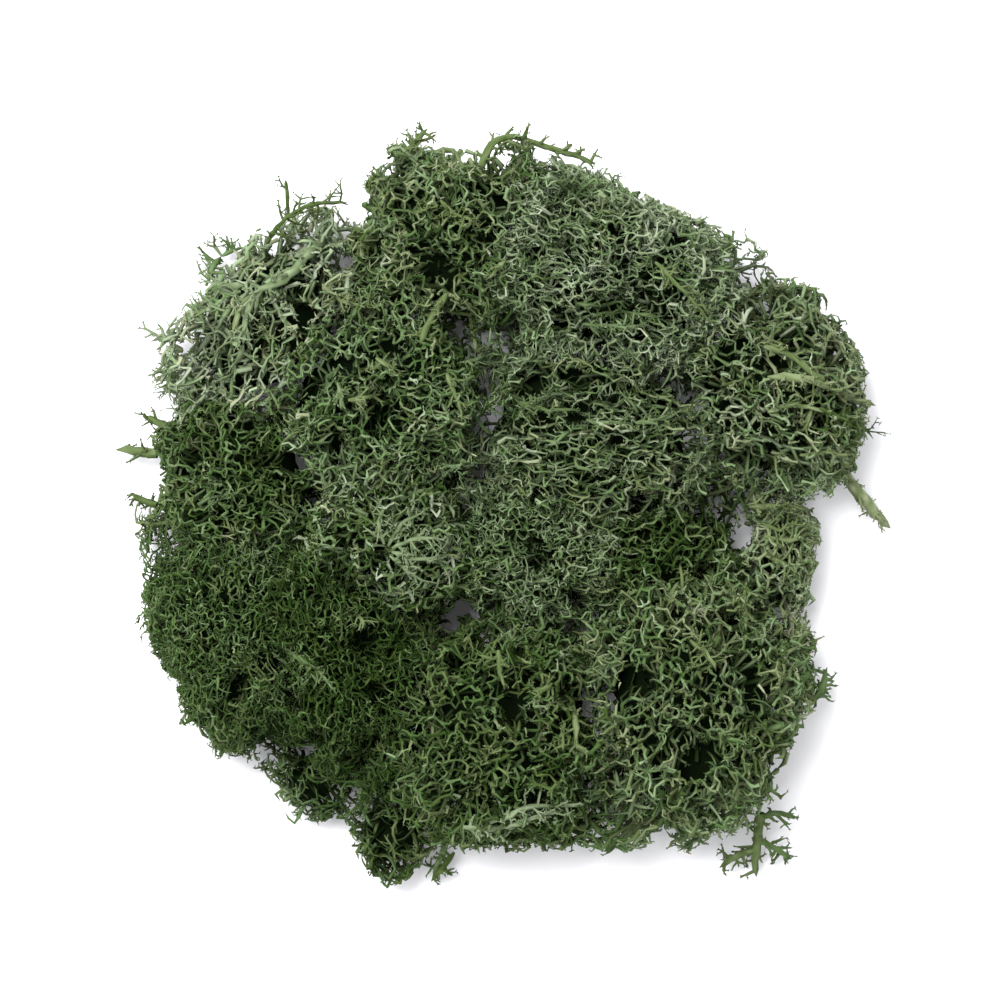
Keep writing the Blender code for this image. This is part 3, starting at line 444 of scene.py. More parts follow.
class Clump:
    """The outlines of all the tufts and of the whole clump, asked for many points at once."""

    def __init__(self, tufts, hollows, box):
        self.hollows = hollows
        self.box = box
        turn = np.radians([tuft.turn for tuft in tufts])
        self.long_way = np.stack([np.cos(turn), np.sin(turn), 0.0 * turn], axis=1)
        self.short_way = np.stack([-np.sin(turn), np.cos(turn), 0.0 * turn], axis=1)
        self.height = np.array([tuft.height for tuft in tufts]) * MM
        self.centre = np.array([(tuft.x * MM, tuft.y * MM, SEAT * tuft.height * MM) for tuft in tufts])
        self.long = np.array([tuft.long for tuft in tufts]) * EDGE_SHARE * MM
        self.short = np.array([tuft.short for tuft in tufts]) * EDGE_SHARE * MM
        self.above = (1.0 - SEAT) * self.height
        self.below = UNDER * SEAT * self.height

    def own_reach(self, points, owner):
        """How far out points are in one tuft, 1 on its outline, and the slope of that."""
        arm = points - self.centre[owner]
        across = arm @ self.long_way[owner] / self.long[owner]
        along = arm @ self.short_way[owner] / self.short[owner]
        tall = np.where(arm[:, 2] > 0.0, self.above[owner], self.below[owner])
        upward = arm[:, 2] / tall
        level = np.maximum(np.sqrt(across ** 2 + along ** 2), 1e-6)
        steep = np.maximum(np.abs(upward), 1e-6)
        reach = (level ** SQUARENESS + steep ** SQUARENESS) ** (1.0 / SQUARENESS)
        level_pull = (level / reach) ** (SQUARENESS - 1.0) / level
        slope = self.long_way[owner] * (level_pull * across / self.long[owner])[:, None]
        slope = slope + self.short_way[owner] * (level_pull * along / self.short[owner])[:, None]
        slope[:, 2] += (steep / reach) ** (SQUARENESS - 1.0) * np.sign(upward) / tall
        return reach, slope

    def reaches(self, points, but=None):
        """How far out points are in each tuft, or in each but one."""
        owners = [owner for owner in range(len(TUFTS)) if owner != but]
        return np.stack([self.own_reach(points, owner)[0] for owner in owners])

    def reach(self, points):
        """How far out points are in the whole clump, and the way out of it."""
        weights = 0.0
        slopes = 0.0
        for owner in range(len(TUFTS)):
            reach, slope = self.own_reach(points, owner)
            weight = np.exp(-BLEND * np.minimum(reach, 4.0))
            weights = weights + weight
            slopes = slopes + slope * weight[:, None]
        whole = MERGE_LIFT - np.log(np.maximum(weights, 1e-20)) / BLEND
        lumps = 0.0
        for x, y, z, phase in LUMP_WAVES:
            lumps = lumps + np.sin(points @ np.array([x, y, z]) / MM + phase)
        whole = whole + LUMP * lumps / 2.0
        return whole + self.dips(points), unit(slopes)

    def dips(self, points, widest=100.0):
        """How much the hollows up to some width take away over points."""
        taken = np.zeros(len(points))
        for hollow in self.hollows:
            if hollow.wide < widest:
                away = np.hypot(points[:, 0] - hollow.x * MM, points[:, 1] - hollow.y * MM)
                taken += hollow.deep * np.exp(-(away / (hollow.wide * MM)) ** 2)
        return taken

    def depth(self, points):
        """How deep points lie under the outline, from 0 to 1, which sets their painted shade."""
        whole, _ = self.reach(points)
        whole = whole - self.dips(points, SMALL)
        return np.clip((SURFACE - whole) * LEVEL_SPAN / DEEP, 0.0, 1.0)

    def top(self, places, level=SURFACE):
        """How high the clump's top is over places on the floor."""
        high = np.full(len(places), HIGHEST * MM)
        for _ in range(80):
            whole, _ = self.reach(np.column_stack([places, high]))
            high = np.where((whole > level) & (high > LOWEST * MM), high - STEP * MM, high)
        return high


def small_hollows(rng):
    """Many small dips, spread at random over the clump."""
    places = rng.uniform(-SMALL_FIELD, SMALL_FIELD, (SMALL_HOLLOWS, 2))
    wide = rng.uniform(*SMALL_WIDE, SMALL_HOLLOWS)
    deep = rng.uniform(*SMALL_DEEP, SMALL_HOLLOWS)
    return [Hollow(x, y, width, share) for (x, y), width, share in zip(places, wide, deep)]


class Shoots:
    """Many shoots, one row each: where they run, how thick they are and how they look."""

    FIELDS = ("owners", "lines", "counts", "radii", "tones", "hues", "sizes", "limits")

    def __init__(self, *columns):
        for name, column in zip(self.FIELDS, columns, strict=True):
            setattr(self, name, column)

    def pick(self, rows):
        """The same for some rows, or for rows taken more than once."""
        return Shoots(*[getattr(self, name)[rows] for name in self.FIELDS])

    @staticmethod
    def joined(parts):
        """All the rows of several sets of shoots, with room for the longest."""
        most = max(part.lines.shape[1] for part in parts)
        joined = []
        for name in Shoots.FIELDS:
            columns = [getattr(part, name) for part in parts]
            if name in ("lines", "radii"):
                columns = [fill(column, most) for column in columns]
            joined.append(np.concatenate(columns))
        return Shoots(*joined)


def fill(column, most):
    """Repeat the last entry of each row up to a length."""
    short = most - column.shape[1]
    if short == 0:
        return column
    return np.concatenate([column, np.repeat(column[:, -1:], short, axis=1)], axis=1)


class Sheaf:
    """Points, faces, tones and hues, gathered for one piece."""

    def __init__(self):
        self.points = []
        self.faces = []
        self.tones = []
        self.hues = []
        self.count = 0

    def add(self, points, faces, tones, hues):
        """Take in one mesh, whose faces count from its own first point."""
        self.points.append(points)
        self.faces.append(faces + self.count)
        self.tones.append(tones)
        self.hues.append(hues)
        self.count += len(points)


def square_to(ways, rng):
    """A random direction square to each way."""
    loose = rng.normal(size=ways.shape)
    return unit(loose - ways * dot(loose, ways))


def tubes(sheaf, shoots, sides, rng, blunt=False, rough=0.0):
    """Tubes along shoots that all have the same number of places, pointed unless blunt."""
    number, stations, _ = shoots.lines.shape
    ways = unit(np.gradient(shoots.lines, axis=1))
    side = square_to(ways[:, 0], rng)
    turns = np.arange(sides) * math.tau / sides
    cosines = np.cos(turns)[None, :, None]
    sines = np.sin(turns)[None, :, None]
    rings = []
    last = stations if blunt else stations - 1
    for station in range(last):
        side = unit(side - ways[:, station] * dot(side, ways[:, station]))
        other = np.cross(ways[:, station], side)
        arm = side[:, None, :] * cosines + other[:, None, :] * sines
        if rough > 0.0:
            arm = arm * (1.0 + rng.normal(size=(number, sides, 1)) * rough)
        radii = shoots.radii[:, station, None, None]
        rings.append(shoots.lines[:, station, None, :] + arm * radii)
    if not blunt:
        rings.append(shoots.lines[:, -1:])
    points = np.concatenate(rings, axis=1)
    own = points.shape[1]
    faces = []
    for station in range(last - 1):
        for corner in range(sides):
            low = station * sides + corner
            after = station * sides + (corner + 1) % sides
            faces.append((low, after, after + sides))
            faces.append((low, after + sides, low + sides))
    if not blunt:
        for corner in range(sides):
            low = (last - 1) * sides
            faces.append((low + corner, low + (corner + 1) % sides, own - 1))
    faces = (np.array(faces)[None, :, :] + (np.arange(number) * own)[:, None, None]).reshape(-1, 3)
    speckle = rng.normal(size=number * own) * (0.03 + 0.5 * rough)
    tones = np.repeat(shoots.tones, own) + speckle
    sheaf.add(points.reshape(-1, 3), faces, tones, np.repeat(shoots.hues, own))


def clothe(sheaves, shoots, sides, rng, blunt=False, rough=0.0):
    """Add the tubes of shoots to the pieces of the tufts that they grow on."""
    for owner in np.unique(shoots.owners):
        for count in np.unique(shoots.counts[shoots.owners == owner]):
            rows = (shoots.owners == owner) & (shoots.counts == count)
            mine = shoots.pick(rows)
            mine.lines = mine.lines[:, :count]
            tubes(sheaves[owner], mine, sides, rng, blunt, rough)


def steered(ways, near, outward, points):
    """Turn ways along the outline where they would leave it, and off the floor."""
    on_top = 0.35 + 0.65 * np.clip(outward[:, 2:], 0.0, 1.0)
    leaving = np.maximum(dot(ways, outward), 0.0)
    turning = np.clip((near - TURN_FROM) / TURN_WITHIN, 0.0, 1.2)[:, None] * on_top
    ways = ways - outward * leaving * turning
    past = np.clip((near - 1.0) / BACK_WITHIN, 0.0, 1.0)[:, None]
    ways = ways - outward * (0.6 * past)
    low = np.clip((NEAR_FLOOR * MM - points[:, 2]) / (NEAR_FLOOR * MM), 0.0, 1.0)
    ways[:, 2] += low * np.maximum(0.2 - ways[:, 2], 0.0)
    return unit(ways)


def walk(starts, ways, counts, pieces, limits, clump, rng, wobble, rise=0.0, lying=False):
    """The curved lines of shoots from their starts, kept under the outline."""
    number = len(starts)
    lines = np.empty((number, counts.max(), 3))
    lines[:, 0] = starts
    bend = rng.normal(size=(number, 3)) * wobble * 0.6
    for station in range(1, lines.shape[1]):
        points = lines[:, station - 1]
        whole, outward = clump.reach(points)
        ways = unit(ways + bend + outward * rise + rng.normal(size=(number, 3)) * wobble)
        if lying:
            climb = np.clip((limits - whole) * LYING_PULL, -0.6, 0.6)[:, None]
            ways = unit(ways - outward * (0.8 * dot(ways, outward) - climb))
        ways = steered(ways, whole / limits, outward, points)
        lines[:, station] = points + ways * pieces[:, None]
        lines[:, station, 2] = np.maximum(lines[:, station, 2], 0.5 * MM)
    return lines


def tapered(first, taper, counts):
    """Radii from a first one down to its share at the end."""
    share = np.arange(counts.max())[None, :] / np.maximum(counts - 1, 1)[:, None]
    radii = first[:, None] * (1.0 - (1.0 - taper) * np.minimum(share, 1.0))
    return np.maximum(radii, LEAST_RADIUS * MM)


def counted(copies):
    """0, 1, 2 and so on within each lot of copies."""
    return np.arange(copies.sum()) - np.repeat(np.cumsum(copies) - copies, copies)


def forked(along, outward, around, spread, lift, rng):
    """Ways that leave others by random angles, turned around them and lifted outward."""
    level = unit(np.cross(along, outward) + 1e-4)
    upward = np.cross(level, along)
    sideways = level * np.cos(around)[:, None] + upward * np.sin(around)[:, None]
    sideways = unit(sideways + outward * lift)
    if lift > 0.0:
        sideways = unit(sideways - along * dot(sideways, along))
    angle = np.radians(rng.uniform(*spread, len(along)))[:, None]
    return along * np.cos(angle) + sideways * np.sin(angle)


def branches(shoots, order, clump, rng, rates=1.0):
    """The next order of shoots, which leave their parents at the places between pieces."""
    stations = np.arange(shoots.lines.shape[1])[None, :]
    fit = (stations > 0) & (stations < (shoots.counts - 1)[:, None])
    rate = order.rate * np.reshape(rates, (-1, 1))
    many = (np.floor(rng.uniform(size=fit.shape) + rate) * fit).astype(int)
    rows, at = np.nonzero(many)
    copies = many[rows, at]
    step = counted(copies)
    rows = np.repeat(rows, copies)
    at = np.repeat(at, copies)
    starts = shoots.lines[rows, at]
    whole, outward = clump.reach(starts)
    seen = (whole > order.inner) & (whole < FARTHEST) & (starts[:, 2] > FLOOR_GAP * MM)
    seen |= shoots.limits[rows] == FREE
    rows, at, starts, outward, step = [
        column[seen] for column in (rows, at, starts, outward, step)]
    along = unit(shoots.lines[rows, at + 1] - starts)
    loose = rng.uniform(-0.9, 0.9, len(rows))
    around = step * FORK_TURN + at * NEXT_TURN + loose + rows * ROW_TURN
    ways = forked(along, outward, around, order.spread, LIFT, rng)
    return grown_from(shoots, rows, at, starts, ways, order, clump, rng)


def grown_from(shoots, rows, at, starts, ways, order, clump, rng):
    """Shoots of an order that leave given places of their parents in given ways."""
    number = len(rows)
    sizes = shoots.sizes[rows]
    counts = rng.integers(order.pieces[0], order.pieces[1] + 1, number) + 1
    pieces = order.piece * MM * sizes * rng.uniform(0.7, 1.3, number)
    limits = shoots.limits[rows]
    lines = walk(starts, ways, counts, pieces, limits, clump, rng, wobble=0.22, rise=0.10)
    first = np.minimum(shoots.radii[rows, at] * order.thick, MOST_RADIUS * MM * np.sqrt(sizes))
    radii = tapered(first, order.taper, counts)
    tones = shoots.tones[rows] + rng.normal(size=number) * 0.035 + 0.012
    hues = shoots.hues[rows]
    return boxed(Shoots(shoots.owners[rows], lines, counts, radii, tones, hues, sizes, limits), clump)


def boxed(shoots, clump):
    """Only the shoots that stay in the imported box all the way."""
    margin = shoots.radii[:, :1]
    low = (shoots.lines >= clump.box[0] + [0.0, 0.0, -1.0]).all(axis=(1, 2))
    high = (shoots.lines <= clump.box[1] - margin[:, :, None]).all(axis=(1, 2))
    return shoots.pick(low & high)


def tines(shoots, clump, rng):
    """Short points that fork the end of each shoot."""
    many = np.floor(rng.uniform(size=len(shoots.counts)) + TINE.rate).astype(int)
    rows = np.repeat(np.arange(len(many)), many)
    step = counted(many)
    at = shoots.counts[rows] - 2
    low = shoots.lines[rows, at]
    piece = shoots.lines[rows, at + 1] - low
    starts = low + piece * rng.uniform(*TINE_PLACES, len(rows))[:, None]
    whole, outward = clump.reach(starts)
    seen = (whole > TINE.inner) | (shoots.limits[rows] == FREE)
    rows, at, starts, outward, step, piece = [
        column[seen] for column in (rows, at, starts, outward, step, piece)]
    around = step * math.pi + rng.uniform(-0.8, 0.8, len(rows)) + rows * ROW_TURN
    ways = forked(unit(piece), outward, around, TINE.spread, 0.0, rng)
    return grown_from(shoots, rows, at, starts, ways, TINE, clump, rng)


def clothe_twigs(sheaves, twigs, clump, rng):
    """Add twigs and the tines at their ends."""
    clothe(sheaves, twigs, TWIG.sides, rng)
    clothe(sheaves, tines(twigs, clump, rng), TINE.sides, rng)


def grow(sheaves, stems, clump, rng, rates=1.0):
    """Branch stems order by order, and clothe each order."""
    sides = branches(stems, SIDE, clump, rng, rates)
    clothe(sheaves, sides, SIDE.sides, rng)
    twigs = branches(sides, TWIG, clump, rng)
    clothe(sheaves, twigs, TWIG.sides, rng)
    clothe(sheaves, tines(Shoots.joined([sides, twigs]), clump, rng), TINE.sides, rng)


def level_axes(tuft):
    """The level ways along a tuft and across it."""
    turn = math.radians(tuft.turn)
    return (np.array([math.cos(turn), math.sin(turn), 0.0]),
            np.array([-math.sin(turn), math.cos(turn), 0.0]))


def skin_area(tuft):
    """Roughly how much surface a tuft has, in square millimetres."""
    spans = tuft.long * tuft.short + (tuft.long + tuft.short) * tuft.height / 2.0
    return 4.0 * math.pi * spans / 3.0


def half_width(tuft, way):
    """How far a tuft's heart reaches along a level way."""
    turn = math.radians(tuft.turn)
    long_share = way[0] * math.cos(turn) + way[1] * math.sin(turn)
    short_share = way[1] * math.cos(turn) - way[0] * math.sin(turn)
    return math.hypot(long_share * (tuft.long - tuft.edge), short_share * (tuft.short - tuft.edge))


def heart_places(owner, ball):
    """Places on a tuft's heart for directions of the unit ball, parted from its neighbours."""
    tuft = TUFTS[owner]
    long_way, short_way = level_axes(tuft)
    above = tuft.height * (1.0 - SEAT) - tuft.crown
    below = tuft.height * SEAT * UNDER
    arm = long_way * (ball[:, :1] * (tuft.long - tuft.edge))
    arm = arm + short_way * (ball[:, 1:2] * (tuft.short - tuft.edge))
    for other in TUFTS:
        across = np.array([other.x - tuft.x, other.y - tuft.y, 0.0])
        apart = np.linalg.norm(across)
        if other is tuft or apart > tuft.long + other.long:
            continue
        way = across / apart
        spare = apart - HEART_GAP - half_width(tuft, way) - half_width(other, way)
        limit = half_width(tuft, way) + spare / 2.0
        arm = arm / np.maximum(arm @ way / limit, 1.0)[:, None]
    arm[:, 2] = ball[:, 2] * np.where(ball[:, 2] > 0.0, above, below)
    places = arm + np.array([tuft.x, tuft.y, tuft.height * SEAT])
    places[:, 2] = np.maximum(places[:, 2], 0.0)
    return places * MM


def spread_ball(count):
    """Directions spread evenly over the unit ball, from its top down."""
    index = np.arange(count) + 0.5
    upward = 1.0 - 2.0 * index / count
    flat = np.sqrt(1.0 - upward ** 2)
    around = index * math.pi * (3.0 - math.sqrt(5.0))
    return np.stack([flat * np.cos(around), flat * np.sin(around), upward], axis=1)


def rooted(owner, pitch, clump, rng):
    """Roots over one tuft's heart, wherever it isn't hidden by other tufts."""
    ball = spread_ball(int(skin_area(TUFTS[owner]) / (pitch * pitch)))
    ball = unit(ball + rng.normal(size=ball.shape) * 0.05)
    roots = heart_places(owner, ball)
    outline = roots.copy()
    arm = unit(roots - clump.centre[owner])
    for _ in range(60):
        reach, _ = clump.own_reach(outline, owner)
        outline = np.where((reach < 1.0)[:, None], outline + arm * STEP * MM, outline)
    seen = outline[:, 2] > LOWEST * MM
    seen &= (clump.reaches(outline, but=owner) > HIDDEN).all(axis=0)
    seen &= (ball[:, 2] >= SIDE_BELOW) | (rng.uniform(size=len(roots)) < SIDE_THINNING)
    return roots[seen], arm[seen], ball[seen]


def looks(tuft, roots, rng):
    """Tones and hues for sprigs on a tuft: they change a little from patch to patch."""
    number = len(roots)
    x, y = roots[:, 0] / MM, roots[:, 1] / MM
    patch = np.sin(x * 0.17 + 1.3) * np.sin(y * 0.21 + 0.4)
    other_patch = np.sin(x * 0.31 + y * 0.12 + 2.0) * np.sin(y * 0.27 - x * 0.1)
    tones = np.clip(tuft.tone + rng.normal(size=number) * tuft.vary + 0.08 * patch, 0.02, 0.98)
    chance = np.clip(0.5 + 0.25 * other_patch + rng.uniform(-0.35, 0.35, number), 0.0, 0.999)
    hues = np.searchsorted(np.cumsum(tuft.hues) / sum(tuft.hues), chance, side="right")
    return tones, hues


def room_along(starts, ways, limits, clump):
    """How far starts can move in straight lines until they reach their limits."""
    room = np.zeros(len(starts))
    for _ in range(50):
        whole, _ = clump.reach(starts + ways * (room + STEP * MM)[:, None])
        room = np.where(whole < limits, room + STEP * MM, room)
    return room


def planted(owner, clump, rng):
    """The stems of one tuft's sprigs."""
    tuft = TUFTS[owner]
    roots, arm, ball = rooted(owner, PITCH * tuft.coarse, clump, rng)
    number = len(roots)
    _, outward = clump.reach(roots)
    top = np.clip(ball[:, 2:] + 0.2, 0.0, 1.0)
    comb = np.array([*tuft.comb, 0.0]) * top
    loose = rng.normal(size=roots.shape) * np.array([0.45, 0.45, 0.2])
    ways = unit(0.6 * arm + 0.6 * outward + comb + loose)
    limits = rng.uniform(*LIMITS, number)
    room = room_along(roots, ways, limits, clump)
    sizes = tuft.coarse * np.exp(rng.normal(size=number) * SIZE_VARIES)
    pieces = STEM.piece * MM * np.sqrt(sizes) * rng.uniform(0.85, 1.15, number)
    length = room + rng.uniform(*BEYOND, number) * MM
    counts = np.clip(np.round(length / pieces), *STEM.pieces).astype(int) + 1
    lines = walk(roots, ways, counts, pieces, limits, clump, rng, wobble=0.14)
    radii = tapered(STEM.thick * MM * sizes, STEM.taper, counts)
    tones, hues = looks(tuft, roots, rng)
    owners = np.full(number, owner)
    return boxed(Shoots(owners, lines, counts, radii, tones, hues, sizes, limits), clump)


def layered(owner, layer, clump, rng):
    """Long stems that wander over one tuft, at one layer's depth."""
    tuft = TUFTS[owner]
    roots, arm, _ = rooted(owner, layer.pitch * tuft.coarse, clump, rng)
    number = len(roots)
    limits = rng.uniform(*layer.levels, number)
    starts = roots + arm * room_along(roots, arm, limits - 0.04, clump)[:, None]
    ways = unit(square_to(arm, rng) + np.array([*tuft.comb, 0.0]) * COMBING)
    counts = rng.integers(*layer.pieces, number) + 1
    sizes = tuft.coarse * np.exp(rng.normal(size=number) * SIZE_VARIES)
    pieces = layer.piece * MM * np.sqrt(sizes) * rng.uniform(0.8, 1.2, number)
    lines = walk(starts, ways, counts, pieces, limits, clump, rng, layer.wobble, lying=True)
    radii = tapered(layer.radius * MM * sizes, 0.6, counts)
    tones, hues = looks(tuft, roots, rng)
    owners = np.full(number, owner)
    limits = np.maximum(limits, SURFACE)
    return boxed(Shoots(owners, lines, counts, radii, tones, hues, sizes, limits), clump)


def triangulated(flat):
    """The corners of the triangles that join places on a plane."""
    return np.array(delaunay_2d_cdt([Vector(place) for place in flat], [], [], 0, 1e-7)[2])


def knots_of(owner, net, clump, rng):
    """The knots of a net over one tuft, and which pairs of them are tied."""
    tuft = TUFTS[owner]
    spacing = net.pitch * tuft.coarse
    ball = spread_ball(int(skin_area(tuft) / (spacing * spacing * 0.87)))
    ball = unit(ball + rng.normal(size=ball.shape) * 0.30 * spacing / tuft.long)
    ball = ball[ball[:, 2] > -0.7]
    corners = triangulated(ball[:, :2] / (1.0 + ball[:, 2:]))
    long_way, short_way = level_axes(tuft)
    comb = np.array([*tuft.comb, 0.0])
    comb = np.array([np.dot(comb, long_way), np.dot(comb, short_way), 0.0])
    knots = unit(ball[corners].mean(axis=1))
    knots = unit(knots + COMB_STRETCH * comb * (knots @ comb)[:, None])
    tall = np.where(knots[:, 2] > 0.0, clump.above[owner], clump.below[owner])
    arm = long_way * knots[:, :1] * clump.long[owner]
    arm = arm + short_way * knots[:, 1:2] * clump.short[owner]
    arm[:, 2] = knots[:, 2] * tall
    levels = net.level + rng.normal(size=len(knots)) * net.unevenness
    share = np.ones(len(knots))
    for _ in range(8):
        whole, _ = clump.reach(clump.centre[owner] + arm * share[:, None])
        share = share * (1.0 + 0.8 * np.clip(levels - whole, -0.3, 0.3))
    places = clump.centre[owner] + arm * share[:, None]
    whole, _ = clump.reach(places)
    mine, _ = clump.own_reach(places, owner)
    good = (np.abs(whole - levels) < TOLERANCE) & (places[:, 2] > 1.0 * MM)
    good &= clump.dips(places, SMALL) < NET_BREAKS
    good &= (clump.reaches(places, but=owner) > mine - TOLERANCE).all(axis=0)
    kept = net.kept * (OPEN_KEPT if tuft.coarse > COARSE else 1.0)
    pairs = tied(places, good, corners, 2.0 * spacing * MM)
    pairs = pairs[rng.uniform(size=len(pairs)) < kept]
    return places, good, pairs, np.full(len(places), owner)


def tied(places, good, corners, longest):
    """The pairs of knots whose triangles share a side."""
    sides = np.concatenate([corners[:, [0, 1]], corners[:, [1, 2]], corners[:, [2, 0]]])
    sides = np.sort(sides, axis=1)
    faces = np.tile(np.arange(len(corners)), 3)
    order = np.lexsort((sides[:, 1], sides[:, 0]))
    sides, faces = sides[order], faces[order]
    same = (sides[1:] == sides[:-1]).all(axis=1)
    pairs = np.column_stack([faces[:-1][same], faces[1:][same]])
    length = np.linalg.norm(places[pairs[:, 0]] - places[pairs[:, 1]], axis=1)
    return pairs[good[pairs].all(axis=1) & (length < longest) & (length > 0.25 * MM)]


def valley_knots(net, clump, rng):
    """The knots of a net along the valleys between tufts, and which pairs of them are tied."""
    steps = np.arange(-VALLEY_FIELD, VALLEY_FIELD, net.pitch)
    flat = np.stack(np.meshgrid(steps, steps, indexing="ij"), axis=-1).reshape(-1, 2)
    flat = flat + rng.uniform(-0.45, 0.45, flat.shape) * net.pitch
    corners = triangulated(flat)
    middles = flat[corners].mean(axis=1) * MM

    def apart(reaches):
        lowest = np.partition(reaches, 1, axis=0)
        return lowest[1] - lowest[0]

    low = clump.reaches(np.column_stack([middles, np.full(len(middles), 12.0 * MM)]))
    near = (apart(low) < 1.6 * VALLEY) & (low.min(axis=0) < 1.25)
    levels = net.level + rng.normal(size=len(middles)) * net.unevenness
    high = np.zeros(len(middles))
    high[near] = clump.top(middles[near], levels[near])
    places = np.column_stack([middles, high])
    reaches = clump.reaches(places)
    inner = np.hypot(middles[:, 0], middles[:, 1]) < INNER * MM
    limit = np.where(inner, INNER_LEVEL, OUTER_LEVEL)
    good = near & (apart(reaches) < VALLEY) & (high > 3.0 * MM) & (reaches.min(axis=0) < limit)
    good &= clump.dips(places, SMALL) < NET_BREAKS
    pairs = tied(places, good, corners, 2.2 * net.pitch * MM)
    pairs = pairs[rng.uniform(size=len(pairs)) < net.kept]
    return places, good, pairs, reaches.argmin(axis=0)


def netted(sheaves, found, net, clump, rng):
    """A net of forking stems between knots, with twigs on the knots."""
    places, good, pairs, owners = found
    number = len(places)
    tones = np.zeros(number)
    hues = np.zeros(number, int)
    for owner in np.unique(owners):
        mine = owners == owner
        tones[mine], hues[mine] = looks(TUFTS[owner], places[mine], rng)
    sizes = np.array([tuft.coarse for tuft in TUFTS])[owners]
    sizes = sizes * np.exp(rng.normal(size=number) * 0.18)
    radii = (net.radius * MM * sizes)[:, None]
    knots = Shoots(owners, places[:, None], np.ones(number, int), radii, tones, hues, sizes,
                   np.ones(number))
    ties = knots.pick(pairs[:, 0])
    ends = places[pairs]
    thick = knots.radii[pairs][:, :, 0] * KNOT_SWELL
    if net.bent:
        middle = ends.mean(axis=1)
        length = np.linalg.norm(ends[:, 1] - ends[:, 0], axis=1)[:, None]
        middle = middle + rng.normal(size=middle.shape) * 0.14 * length
        ties.lines = np.stack([ends[:, 0], middle, ends[:, 1]], axis=1)
        slim = thick.mean(axis=1) / KNOT_SWELL * rng.uniform(0.65, 1.0, len(pairs))
        ties.radii = np.column_stack([thick[:, 0], slim, thick[:, 1]])
    else:
        ties.lines = ends
        ties.radii = thick / KNOT_SWELL
    ties.counts = np.full(len(pairs), ties.lines.shape[1])
    clothe(sheaves, boxed(ties, clump), 3, rng, blunt=True)
    many = np.floor(rng.uniform(size=number) + net.twigs).astype(int) * good
    rows = np.repeat(np.arange(number), many)
    _, outward = clump.reach(places[rows])
    comb = np.array([(*tuft.comb, 0.0) for tuft in TUFTS])[owners[rows]]
    ways = unit(outward * 0.9 + rng.normal(size=outward.shape) * 0.6 + comb * 0.5)
    at = np.zeros(len(rows), int)
    clothe_twigs(sheaves, grown_from(knots, rows, at, places[rows], ways, TWIG, clump, rng), clump, rng)


def smooth_line(places, radii, piece):
    """Places and radii every so far along the curve through given places."""
    points = np.array(places, float)
    thick = np.interp(np.linspace(0, 1, len(points)), np.linspace(0, 1, len(radii)), radii)
    ends = np.concatenate([2 * points[:1] - points[1:2], points, 2 * points[-1:] - points[-2:-1]])
    curve = []
    radius = []
    for number in range(len(points) - 1):
        before, start, end, after = ends[number:number + 4]
        steps = max(1, round(np.linalg.norm(end - start) / piece))
        for step in range(steps):
            t = step / steps
            curve.append(0.5 * (2 * start + (end - before) * t
                                + (2 * before - 5 * start + 4 * end - after) * t ** 2
                                + (3 * start - before - 3 * end + after) * t ** 3))
            radius.append(thick[number] * (1 - t) + thick[number + 1] * t)
    curve.append(points[-1])
    radius.append(thick[-1])
    return np.array(curve), np.array(radius)


def shoot_of(owner, curve, radius, tone, hue):
    """One free shoot along a given curve, both in millimetres."""
    columns = ([owner], curve[None] * MM, [len(curve)], radius[None] * MM, [tone], [hue],
               [TUFTS[owner].coarse], [FREE])
    return Shoots(*[np.array(column) for column in columns])


def seen_from_above(curve):
    """Drawn in from where a line is seen in the picture to where it is at its height."""
    share = FLOOR_WIDTH / PHOTO_WIDTH * (1.0 - curve[:, 2:] * MM / CAMERA_HEIGHT)
    curve[:, :2] = AXIS + (curve[:, :2] - AXIS) * share
    return curve


def listed(kind, table):
    """The stems of a table, each with the number of its tuft."""
    return [(OWNER[name], kind(*row)) for name, rows in table.items() for row in rows]


def given_stems(clump, rng):
    """The long stems that leave the tufts and those that lie on them, and their rates."""
    shoots = []
    rates = []
    for owner, stem in listed(Long, LONG_STEMS):
        curve, radius = smooth_line(stem.places, stem.radii, LYING_PIECE)
        curve = seen_from_above(curve)
        curve[1:-1] += rng.normal(size=curve[1:-1].shape) * 0.12
        shoots.append(shoot_of(owner, curve, radius, stem.tone, stem.hue))
        rates.append(stem.rate)
    scale = PHOTO_WIDTH / PICTURE
    for owner, stem in listed(Lying, LYING_STEMS):
        places = [((x - PICTURE_MIDDLE[0]) * scale, (PICTURE_MIDDLE[1] - y) * scale)
                  for x, y in stem.places]
        curve, radius = smooth_line(places, stem.radii, LYING_PIECE)
        high = clump.top(curve * MM) / MM
        high = np.convolve(np.pad(high, 2, mode="edge"), np.full(5, 0.2), mode="valid")
        curve = seen_from_above(np.column_stack([curve, high + stem.lift - 0.5 * radius]))
        curve[1:-1] += rng.normal(size=curve[1:-1].shape) * 0.15
        radius = radius * LYING_SLIMMER * (1.0 + rng.normal(size=len(radius)) * STEM_ROUGH)
        radius[0] *= LYING_START
        shoots.append(shoot_of(owner, curve, radius, stem.tone - LYING_DARKER, stem.hue))
        rates.append(stem.rate * LYING_RATE)
    return Shoots.joined(shoots), np.array(rates)


